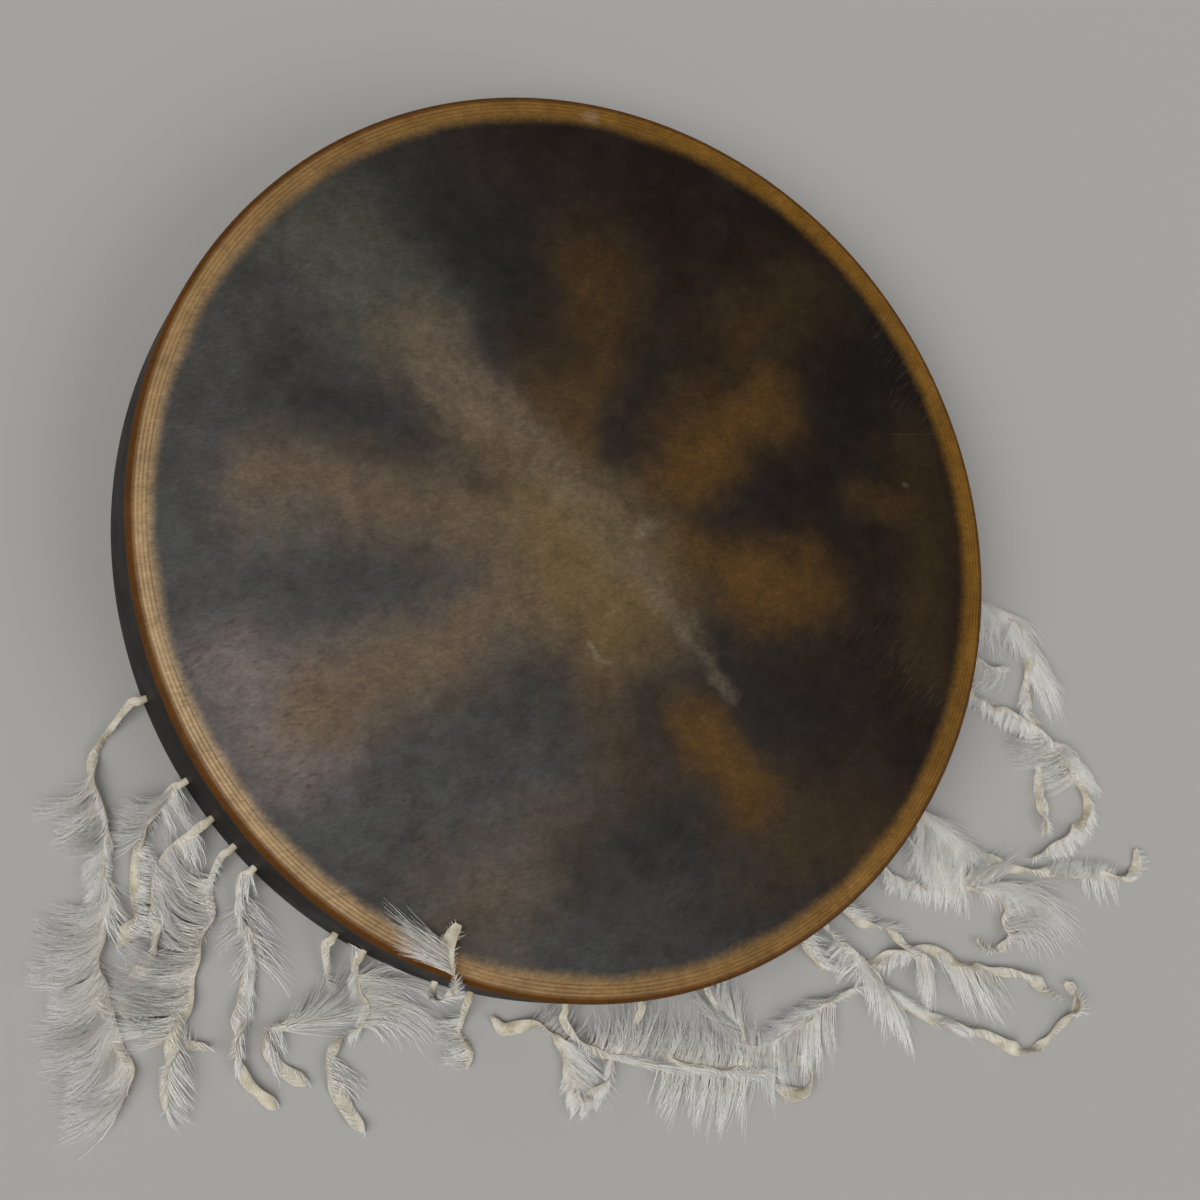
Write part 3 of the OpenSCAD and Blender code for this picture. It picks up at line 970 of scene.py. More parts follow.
@dataclass
class Studio:
    """The camera, the light and the floor."""

    eye: Triple = (-0.376, -0.231, 0.918)
    look_at: Triple = (0.001, -0.038, 0.050)
    lens: float = 54.0
    sensor: float = 36.0
    floor_radius: float = 40.0
    # Where each lamp stands from the drum, and its share of the light on a level surface; the air
    # gives the rest, so that a colour renders as it is written.
    key_from: Triple = (-1.25, -0.5, 1.45)
    key_share: float = 0.56
    fill_from: Triple = (1.3, -0.9, 1.5)
    fill_share: float = 0.16
    softness: float = 45.0
    air: str = "#d4d3d1"
    air_strength: float = 0.42
    backdrop: str = StudioPaper.grey
    floor_sides: int = 96

    def build(self) -> None:
        """Make the camera, the lamps, the world and the floor."""
        scene = bpy.context.scene
        scene.view_settings.view_transform = "Standard"
        camera = bpy.data.objects.new("photo_camera", bpy.data.cameras.new("photo_camera"))
        camera.data.lens = self.lens
        camera.data.sensor_width = self.sensor
        camera.matrix_world = self.aimed(self.eye, self.look_at, Vector((0, 1, 0)))
        scene.collection.objects.link(camera)
        scene.camera = camera
        self.lamp("key", self.key_from, self.key_share)
        self.lamp("fill", self.fill_from, self.fill_share)
        scene.world = self.world()
        turns = np.linspace(0, TURN, self.floor_sides, endpoint=False)
        rim = spokes(turns) * self.floor_radius
        floor = new_object("studio_floor", rim, [tuple(range(self.floor_sides))])
        floor.data.materials.append(StudioPaper().material())

    @staticmethod
    def aimed(eye: Sequence[float], target: Sequence[float], upright: Vector) -> Matrix:
        """Place something so that its -Z axis looks at a target.

        Args:
            eye: Where it stands.
            target: What it looks at.
            upright: The direction that is up for it.

        Returns:
            Its world matrix.
        """
        back = (Vector(eye) - Vector(target)).normalized()
        right = upright.cross(back).normalized()
        turned = Matrix((right, back.cross(right), back)).transposed()
        return Matrix.Translation(Vector(eye)) @ turned.to_4x4()

    def lamp(self, name: str, place: Sequence[float], share: float) -> None:
        """Add a soft, distant lamp, which lights the floor evenly as far as it is seen.

        Args:
            name: The lamp's name.
            place: Where it stands from the drum.
            share: Its share of the light on a level surface.
        """
        lamp = bpy.data.objects.new(name, bpy.data.lights.new(name, "SUN"))
        lamp.data.angle = math.radians(self.softness)
        lamp.data.energy = math.pi * share / Vector(place).normalized().z
        lamp.matrix_world = self.aimed(place, (0, 0, 0), Vector((0, 0, 1)))
        bpy.context.scene.collection.objects.link(lamp)

    def world(self) -> bpy.types.World:
        """Make the air that lights the drum, and the plain backdrop that is seen or mirrored.

        Returns:
            The world.
        """
        world = bpy.data.worlds.new("studio_air")
        world.use_nodes = True
        world.node_tree.nodes.clear()
        node = partial(add, world.node_tree)
        air = node("ShaderNodeBackground", {"Color": linear(self.air), "Strength": self.air_strength})
        seen = node("ShaderNodeBackground", {"Color": linear(self.backdrop)})
        rays = node("ShaderNodeLightPath").outputs
        direct = rays["Is Camera Ray"]
        for kind in ("Is Glossy Ray", "Is Transmission Ray"):
            direct = node(MATH, (direct, rays[kind]), "MAXIMUM")
        sky = node("ShaderNodeMixShader", {0: direct, 1: air, 2: seen})
        node("ShaderNodeOutputWorld", {"Surface": sky})
        return world


@dataclass(frozen=True)
class Tuft:
    """A run of hair along a strip.

    start and end are shares of the strip's length; leave and point are the directions in which
    the hair leaves the strip and in which it ends, in degrees from +X towards +Y; length is in
    millimetres, and thick is the count of hairs on each millimetre.
    """

    start: float
    end: float
    leave: float
    point: float
    length: float
    thick: float


@dataclass(frozen=True)
class Sheet:
    """A sheet of hair: the strip's rows it grows on, and for each row how it leaves and ends.

    reach is the hair's length and grow the count of hairs on each metre of the strip; shift moves
    the sheet sideways and breadth is how wide it is, both as shares of the strip's width, and lock is
    the width of one lock at its root.
    """

    rows: Array
    leave: Array
    point: Array
    reach: Array
    grow: Array
    shift: float
    breadth: float
    lock: float


@dataclass
class HairTree:
    """The node tree that grows and combs the hair of one strip."""

    # Goat hair is about 0.08 mm thick; it is drawn at 0.32 mm, so that single hairs show.
    thickness: float = 0.32 * MM
    pinch: float = 0.9
    spread: float = 0.17
    wave: float = 3.0 * MM
    wave_size: float = 9.0 * MM
    # A hair joins a lock at random, up to this share of a lock's width away.
    astray: float = 0.35
    # How much of a hair's greying is its own random tone, and how much its lock's, which is painted shade.
    own_shade: float = 0.45
    lock_shade: float = 0.75
    # Lengths vary between these shares of the written one.
    lengths: Pair = (0.5, 1.15)
    # How much a hair's own chance and its lock's spread it, where it leaves and where it ends, and how
    # high this spread is beside its width.
    leave_spread: Pair = (0.7, 0.5)
    point_spread: Pair = (1.3, 1.5)
    flattened: float = 0.6
    # A hair thins between these shares of its length, from one share of its thickness to the other.
    thinning: Pair = (0.2, 1.0)
    taper: Pair = (0.5, 0.12)
    # Hair keeps this far from what it lies on, and is up to the loft above it.
    clear: float = 0.5 * MM
    loft: float = 1.6 * MM
    # A root above this share of the drum's height lies on the head.
    head_from: float = 0.8
    tree: Tree | None = None

    def build(self) -> Tree:
        """Make the tree.

        Returns:
            The tree, from a strip's hairy skin to the mesh of its hair.
        """
        tree, node, given = new_tree("goat_hair", Int=("Points", "Seed"), Float=(
            "Thickness", "Pinch", "Spread", "Wave", "Wave Size", "Clear", "Wall", "Head"))
        kinds = {"FLOAT": ("grow", "reach", "run", "clump", "stray"),
                 "FLOAT_VECTOR": ("leave", "point", "along", "root", "hair", "lock")}
        read = {}
        for kind, labels in kinds.items():
            read.update({label: node(READ, (label,), data_type=kind) for label in labels})
        roots = node("GeometryNodeDistributePointsOnFaces",
                     {"Mesh": given["Geometry"], "Density": read["grow"], "Seed": given["Seed"]})
        swing = {0: (-1.0, -1.0, -1.0), 1: (1.0, 1.0, 1.0), "Seed": given["Seed"]}
        hair = node(RANDOM, swing, data_type="FLOAT_VECTOR")
        count = node(MATH, (read["run"], read["clump"]), "DIVIDE")
        astray = node(RANDOM, {2: -self.astray, 3: self.astray, "Seed": given["Seed"]}, data_type="FLOAT")
        cell = node(MATH, (count, astray), "ADD")
        cell = node(MATH, (cell,), "FLOOR")
        lock = node(RANDOM, {**swing, "ID": cell}, data_type="FLOAT_VECTOR")
        middle = node(MATH, (cell, 0.5), "ADD")
        stray = node(MATH, (middle, count), "SUBTRACT")
        stray = node(MATH, (stray, read["clump"]), "MULTIPLY")
        kept = roots
        for label, value in (("root", node(PLACE)), ("hair", hair), ("lock", lock), ("stray", stray)):
            kind = "FLOAT" if label in kinds["FLOAT"] else "FLOAT_VECTOR"
            kept = node(STORE, {"Geometry": kept, "Name": label, "Value": value}, data_type=kind,
                        domain="POINT")
        strand = node("GeometryNodeCurvePrimitiveLine")
        strand = node("GeometryNodeResampleCurve", {"Curve": strand, "Count": given["Points"]})
        strands = node("GeometryNodeInstanceOnPoints", {"Points": kept, "Instance": strand})
        share = node("GeometryNodeSplineParameter").outputs["Factor"]
        place = self.combed(node, given, read, share)
        combed = node(MOVE, {"Geometry": node(REALIZE, (strands,)), "Position": place})
        # A hair's greying: its own random tone, and its lock's painted shade, which sets the locks apart.
        shade = node(VECTOR, (read["hair"], (0.0, 0.0, self.own_shade)), "DOT_PRODUCT")
        locked = node(VECTOR, (read["lock"], (0.0, self.lock_shade, 0.0)), "DOT_PRODUCT")
        shade = node(MATH, (shade, locked), "ADD")
        for label, value in (("tip", share), ("shade", shade)):
            combed = node(STORE, {"Geometry": combed, "Name": label, "Value": value}, data_type="FLOAT",
                          domain="POINT")
        profile = node("GeometryNodeCurvePrimitiveCircle", {"Resolution": 3, "Radius": given["Thickness"]})
        taper = node(RANGE, (share, *self.thinning, *self.taper))
        tubes = node("GeometryNodeCurveToMesh", {"Curve": combed, "Profile Curve": profile, "Scale": taper,
                                                 "Fill Caps": True})
        end_tree(node, node(SMOOTH, (tubes,)), given)
        return tree

    def combed(self, node: Adder, given: Any, read: dict[str, Node], share: Any) -> Node:
        """Work out where each point of a hair lies.

        Args:
            node: Adds a node to the hair's tree.
            given: Sockets of the tree's inputs.
            read: Nodes that read the stored attributes.
            share: Socket of the share along the hair.

        Returns:
            The node that gives the place.
        """
        ways = {}
        for label, shares in (("leave", self.leave_spread), ("point", self.point_spread)):
            way = read[label]
            for name, part in zip(("hair", "lock"), shares):
                much = node(MATH, (given["Spread"], part), "MULTIPLY")
                push = node(VECTOR, {0: read[name], "Scale": much}, "SCALE")
                flat = node(VECTOR, (push, (1.0, 1.0, self.flattened)), "MULTIPLY")
                way = node(VECTOR, (way, flat), "ADD")
            ways[label] = way
        # A hair's direction turns evenly from its root to its tip, so its place is a parabola.
        half_square = node(MATH, (share, share), "MULTIPLY")
        half_square = node(MATH, (half_square, 0.5), "MULTIPLY")
        turn = node(VECTOR, (ways["point"], ways["leave"]), "SUBTRACT")
        first = node(VECTOR, {0: ways["leave"], "Scale": share}, "SCALE")
        later = node(VECTOR, {0: turn, "Scale": half_square}, "SCALE")
        shape = node(VECTOR, (first, later), "ADD")
        chance = node(SPLIT, (read["hair"],))
        vary = node(RANGE, (chance.outputs["X"], -1.0, 1.0, *self.lengths))
        length = node(MATH, (read["reach"], vary), "MULTIPLY")
        shape = node(VECTOR, {0: shape, "Scale": length}, "SCALE")
        place = node(VECTOR, (read["root"], shape), "ADD")
        draw = node(MATH, (read["stray"], given["Pinch"]), "MULTIPLY")
        early = node(MATH, (share,), "SQRT")
        draw = node(MATH, (draw, early), "MULTIPLY")
        gather = node(VECTOR, {0: read["along"], "Scale": draw}, "SCALE")
        place = node(VECTOR, (place, gather), "ADD")
        often = node(MATH, (1.0, given["Wave Size"]), "DIVIDE")
        ripple = node(NOISE, {"Vector": place, "Scale": often, "Detail": 1.0})
        ripple = node(VECTOR, (ripple.outputs["Color"], (0.5, 0.5, 0.5)), "SUBTRACT")
        swing = node(MATH, (given["Wave"], share), "MULTIPLY")
        ripple = node(VECTOR, {0: ripple, "Scale": swing}, "SCALE")
        place = node(VECTOR, (place, ripple), "ADD")
        return self.kept_clear(node, given, read, place, chance)

    def kept_clear(self, node: Adder, given: Any, read: dict[str, Node], place: Any, chance: Any) -> Node:
        """Keep the hair above what it lies on and outside the drum's wall.

        Args:
            node: Adds a node to the hair's tree.
            given: Sockets of the tree's inputs.
            read: Nodes that read the stored attributes.
            place: Node that gives the place so far.
            chance: Node that gives a hair's random numbers.

        Returns:
            The node that gives the place.
        """
        low = node(SPLIT, (read["root"],)).outputs["Z"]
        middle = node(MATH, (given["Head"], self.head_from), "MULTIPLY")
        on_head = node(MATH, (low, middle), "GREATER_THAN")
        flat = node(VECTOR, (place, (1.0, 1.0, 0.0)), "MULTIPLY")
        out = node(VECTOR, (flat,), "LENGTH")
        wall = node(MATH, (given["Wall"], given["Clear"]), "ADD")
        push = node(MATH, (wall, out), "DIVIDE")
        push = node(MATH, (push, 1.0), "MAXIMUM")
        push = node(MIX, {0: on_head, 2: push, 3: 1.0}, data_type="FLOAT")
        flat = node(VECTOR, {0: flat, "Scale": push}, "SCALE")
        apart = node(SPLIT, (flat,))
        ground = node(MATH, (given["Head"], on_head), "MULTIPLY")
        ground = node(MATH, (ground, given["Clear"]), "ADD")
        lift = node(RANGE, (chance.outputs["Y"], -1.0, 1.0, 0.0, self.loft))
        ground = node(MATH, (ground, lift), "ADD")
        height = node(SPLIT, (place,)).outputs["Z"]
        height = node(MATH, (height, ground), "MAXIMUM")
        return node(JOIN, (apart.outputs["X"], apart.outputs["Y"], height))

    def grow(self, skin: Piece, name: str, seed: int, points: int) -> Piece:
        """Grow the hair of one strip.

        Args:
            skin: Scratch mesh of the hairy skin, with its attributes.
            name: Name of the piece.
            seed: Seed of its random numbers.
            points: Count of points along each hair.

        Returns:
            The hair's mesh object.
        """
        self.tree = self.tree or self.build()
        return run_tree(skin, self.tree, GoatHair().material(), {
            "Thickness": self.thickness, "Points": points, "Pinch": self.pinch, "Spread": self.spread,
            "Wave": self.wave, "Wave Size": self.wave_size, "Clear": self.clear,
            "Wall": DRUM.radius, "Head": DRUM.height, "Seed": seed}, name)


@dataclass
class FringeStrip:
    """One furred strip: a twisted rawhide thong and the hair on it.

    The route's points are the part's own, in millimetres: two numbers lie on the floor, and a
    third is a height.
    """

    number: int
    root: float
    route: Sequence[tuple[float, ...]]
    tufts: Sequence[Tuft]
    twist: float = 86.0
    width: float = 6.8 * MM
    thick: float = 0.55 * MM
    lie_z: float = 2.0 * MM
    spacing: float = 1.25 * MM
    neck: tuple[Pair, ...] = ((0, 1), (4, 1), (8.5, 0.78))
    neck_len: float = 8.0 * MM
    neck_d: float = 3.8 * MM
    # The cut end widens like a leaf: distance from the end, in millimetres, and width there.
    leaf: tuple[Pair, ...] = ((0, 0.5), (3, 0.85), (8, 1.08), (16, 1.0))
    # Near its hole a strip is slimmer: distance from the hole, in millimetres, and width there.
    slim: tuple[Pair, ...] = ((0, 0.6), (30, 0.66), (70, 1.0))
    sides: int = 7
    clear: float = 0.3 * MM
    lift_rows: int = 4
    sharp: float = 50.0
    # Each strip's waves start this many radians after those of the one before it.
    phase: float = 2.4
    # It twists in a long and a short wave: length, share of the twist, and share of the start.
    waves: tuple[Triple, ...] = ((74.0 * MM, 0.6, 1.0), (31.0 * MM, 0.4, 1.7))
    # It swells in two waves: length of one radian, share of the width, and share of the start.
    swells: tuple[Triple, ...] = ((9.0 * MM, 0.16, 1.0), (4.1 * MM, 0.1, 0.0))
    # It is cupped, in radians: on average, by how much that changes, and along which length.
    cup: Triple = (0.28, 0.2, 13.0 * MM)
    # Shares of the strip's width that long hair and the fuzz of one edge grow on.
    hair_breadth: float = 0.5
    fuzz_breadth: float = 0.14
    hair_points: int = 6
    # A lock of long hair is this share of its length wide, between these limits.
    lock_share: float = 0.11
    lock_limits: Pair = (1.3 * MM, 4.4 * MM)
    fuzz_points: int = 3
    fuzz_lock: float = 2.0 * MM
    fuzz_len: float = 6.0 * MM
    fuzz_thick: float = 3.0
    # The fuzz grows near the edges, in patches, and leaves and ends by so much along, beside and above.
    fuzz_shift: float = 0.43
    fuzz_patch: float = 15.0 * MM
    fuzz_phase: float = 3.1
    fuzz_leave: Triple = (0.8, 0.6, 0.35)
    fuzz_point: Triple = (0.5, 0.85, -0.15)
    # How much long hair climbs where it leaves and sinks where it ends.
    rise: float = 0.22
    fall: float = -0.30
    # Within the first share of its run from its ends, a tuft thins to the second share of its hairs, and
    # its hair shortens towards the third share of its length.
    tuft_ends: Triple = (0.16, 0.15, 0.75)
    # Between its patches the fuzz has these shares of its length and of its hairs.
    fuzz_least: Pair = (0.5, 0.2)
    # Hair grows from this share of the strip's thickness above its middle.
    root_rise: float = 0.4
    quick_share: float = 0.3
    name: str = field(init=False)

    def __post_init__(self) -> None:
        """Name the strip after its CAD node."""
        self.name = f"fringe_strip_{self.number}"

    def line(self) -> Array:
        """Draw the strip's centreline.

        Returns:
            Points in metres, from the hole in the hide to the strip's end.
        """
        turn = math.radians(self.root)
        out = np.array([math.cos(turn), math.sin(turn), 0.0])
        start = [(DRUM.radius + r * MM) * out + z * DRUM.thong_z * UP for r, z in self.neck]
        rest = [np.array([*p, self.lie_z / MM][:3]) * MM for p in self.route]
        return smooth_line(np.array([*start, *rest]), self.spacing)

    def rings(self) -> tuple[Array, Array, Array, Array, Array]:
        """Sweep the thong's cross-section along its line.

        Returns:
            The rings' vertices, the centreline, its tangents, its sideways directions and the widths.
        """
        path = self.line()
        run = np.arange(len(path)) * self.spacing
        tangents, ups, sides = carried_frames(path, UP)
        phase = self.phase * self.number
        turn = sum(k * np.sin(TURN * run / size + start * phase) for size, k, start in self.waves)
        turn *= math.radians(self.twist) * np.clip((run - self.neck_len) / (2 * self.neck_len), 0, 1)
        flat_up = np.cos(turn)[:, None] * ups + np.sin(turn)[:, None] * sides
        flat_side = np.cos(turn)[:, None] * sides - np.sin(turn)[:, None] * ups
        bunched = np.clip(1 - run / self.neck_len, 0, 1) ** 1.5
        swell = (k * np.sin(run / size + start * phase) for size, k, start in self.swells)
        wide = self.width * sum(swell, 1)
        wide *= np.interp((run[-1] - run) / MM, *np.array(self.leaf).T)
        wide *= np.interp(run / MM, *np.array(self.slim).T)
        curl = self.cup[0] + self.cup[1] * np.sin(run / self.cup[2] + 2 * phase)
        u = np.linspace(-1, 1, self.sides)
        rings = []
        for i in range(len(path)):
            x = wide[i] / 2 * np.sin(u * curl[i]) / curl[i]
            y = wide[i] / 2 * (np.cos(u * curl[i]) - np.cos(curl[i] / 2)) / curl[i]
            half = self.thick / 2 * np.sqrt(1 - 0.75 * u ** 2)
            ends = math.pi * (1 - (np.arange(self.sides) + 0.5) / self.sides)
            up_x, up_y = np.append(x, x[::-1]), np.append(y + half, (y - half)[::-1])
            dot_x = np.append(np.cos(ends), np.cos(ends)[::-1]) * self.neck_d / 2
            dot_y = np.append(np.sin(ends), -np.sin(ends)[::-1]) * self.neck_d / 2
            k = bunched[i]
            px, py = (1 - k) * up_x + k * dot_x, (1 - k) * up_y + k * dot_y
            rings.append(path[i] + px[:, None] * flat_side[i] + py[:, None] * flat_up[i])
        rings = np.array(rings)[:, ::-1]
        need = np.maximum(self.clear - rings[:, :, 2].min(axis=1), 0)
        # A row that would touch the floor lifts its neighbours with it, in an even rise.
        rows = 2 * self.lift_rows + 1
        padded = np.pad(need, self.lift_rows, mode="edge")
        need = np.max([padded[k:k + len(need)] for k in range(rows)], axis=0)
        need = np.convolve(np.pad(need, self.lift_rows, mode="edge"), np.ones(rows) / rows, mode="valid")
        rings[:, :, 2] += need[:, None]
        path = path + need[:, None] * UP
        return rings, path, tangents, flat_side, wide

    def long_hair(self) -> list[Sheet]:
        """Lay out the long hair of the tufts.

        Returns:
            One sheet for each tuft.
        """
        count = len(self.line())
        ends, least, short = self.tuft_ends
        sheets = []
        for tuft in self.tufts:
            first, last = (int(round(s * (count - 1))) for s in (tuft.start, tuft.end))
            rows = np.arange(first, max(last, first + 2) + 1).clip(0, count - 1)
            share = np.linspace(0, 1, len(rows))
            full = np.clip(np.minimum(share, 1 - share) / ends, least, 1)
            ways = []
            for angle, tilt in ((tuft.leave, self.rise), (tuft.point, self.fall)):
                turn = math.radians(angle)
                ways.append(np.tile((math.cos(turn), math.sin(turn), tilt), (len(rows), 1)))
            lock = float(np.clip(self.lock_share * tuft.length * MM, *self.lock_limits))
            sheets.append(Sheet(rows, *ways, tuft.length * MM * (short + (1 - short) * full),
                                tuft.thick * full / MM, 0.0, self.hair_breadth, lock))
        return sheets

    def fuzz(self, tangents: Array) -> list[Sheet]:
        """Lay out the short hair along both edges.

        Args:
            tangents: Directions of the centreline.

        Returns:
            One sheet for each edge.
        """
        rows = np.arange(int(self.neck_len / 2 / self.spacing), len(tangents))
        ahead = tangents[rows]
        sideways = unit(np.cross(UP, ahead))
        patchy = 0.5 + 0.5 * np.sin(rows * self.spacing / self.fuzz_patch + self.fuzz_phase * self.number)
        short, thin = self.fuzz_least
        sheets = []
        for edge in (-1, 1):
            ways = [along * ahead + beside * edge * sideways + above * UP
                    for along, beside, above in (self.fuzz_leave, self.fuzz_point)]
            sheets.append(Sheet(rows, *ways, self.fuzz_len * (short + (1 - short) * patchy),
                                self.fuzz_thick / MM * (thin + (1 - thin) * patchy),
                                self.fuzz_shift * edge, self.fuzz_breadth, self.fuzz_lock))
        return sheets

    def skin(self, path: Array, tangents: Array, side: Array, wide: Array,
             sheets: Sequence[Sheet]) -> Piece:
        """Lay out the scratch skin that hair grows from.

        Args:
            path: The strip's centreline.
            tangents: Its directions.
            side: Its sideways directions.
            wide: Its widths.
            sheets: The sheets of hair.

        Returns:
            A mesh with a ribbon for each sheet and the attributes that comb it.
        """
        thinner = 1.0
        verts, faces = [], []
        stored: dict[str, list[Array]] = {}
        for sheet in sheets:
            half = sheet.breadth * wide[sheet.rows] / 2
            across = half[:, None] * side[sheet.rows]
            aside = (sheet.shift * wide[sheet.rows])[:, None] * side[sheet.rows]
            base = sum(len(v) for v in verts)
            middle = path[sheet.rows] + aside + self.root_rise * self.thick * UP
            verts.append(np.stack([middle - across, middle + across], axis=1).reshape(-1, 3))
            faces += [(a, a + 1, a + 3, a + 2) for a in range(base, base + 2 * len(sheet.rows) - 2, 2)]
            values = {
                "grow": thinner * sheet.grow / (2 * half), "reach": sheet.reach, "leave": sheet.leave,
                "point": sheet.point, "run": sheet.rows * self.spacing, "along": tangents[sheet.rows],
                "clump": np.full(len(sheet.rows), sheet.lock)}
            for label, value in values.items():
                stored.setdefault(label, []).append(np.repeat(value, 2, axis=0))
        made = new_object(f"{self.name}_skin", np.vstack(verts), faces)
        for label, values in stored.items():
            set_attribute(made, label, np.concatenate(values))
        return made

    def build(self, hair: HairTree) -> None:
        """Args:
            hair: The tree that grows the hair.
        """
        rings, path, tangents, side, wide = self.rings()
        count, ring = rings.shape[:2]
        thong = new_object(f"furred_{self.name}", rings.reshape(-1, 3), tube_faces(count, ring))
        thong.data.set_sharp_from_angle(angle=math.radians(self.sharp))
        thong.data.materials.append(FringeRawhide().material())
        hand_over(thong, Slot.FRINGE, self.name)
        for label, sheets, points in (("hair", self.long_hair(), self.hair_points),
                                      ("fuzz", self.fuzz(tangents), self.fuzz_points)):
            skin = self.skin(path, tangents, side, wide, sheets)
            tail = hair.grow(skin, f"{label}_{self.name}", self.number, points)
            hand_over(tail, Slot.FRINGE)


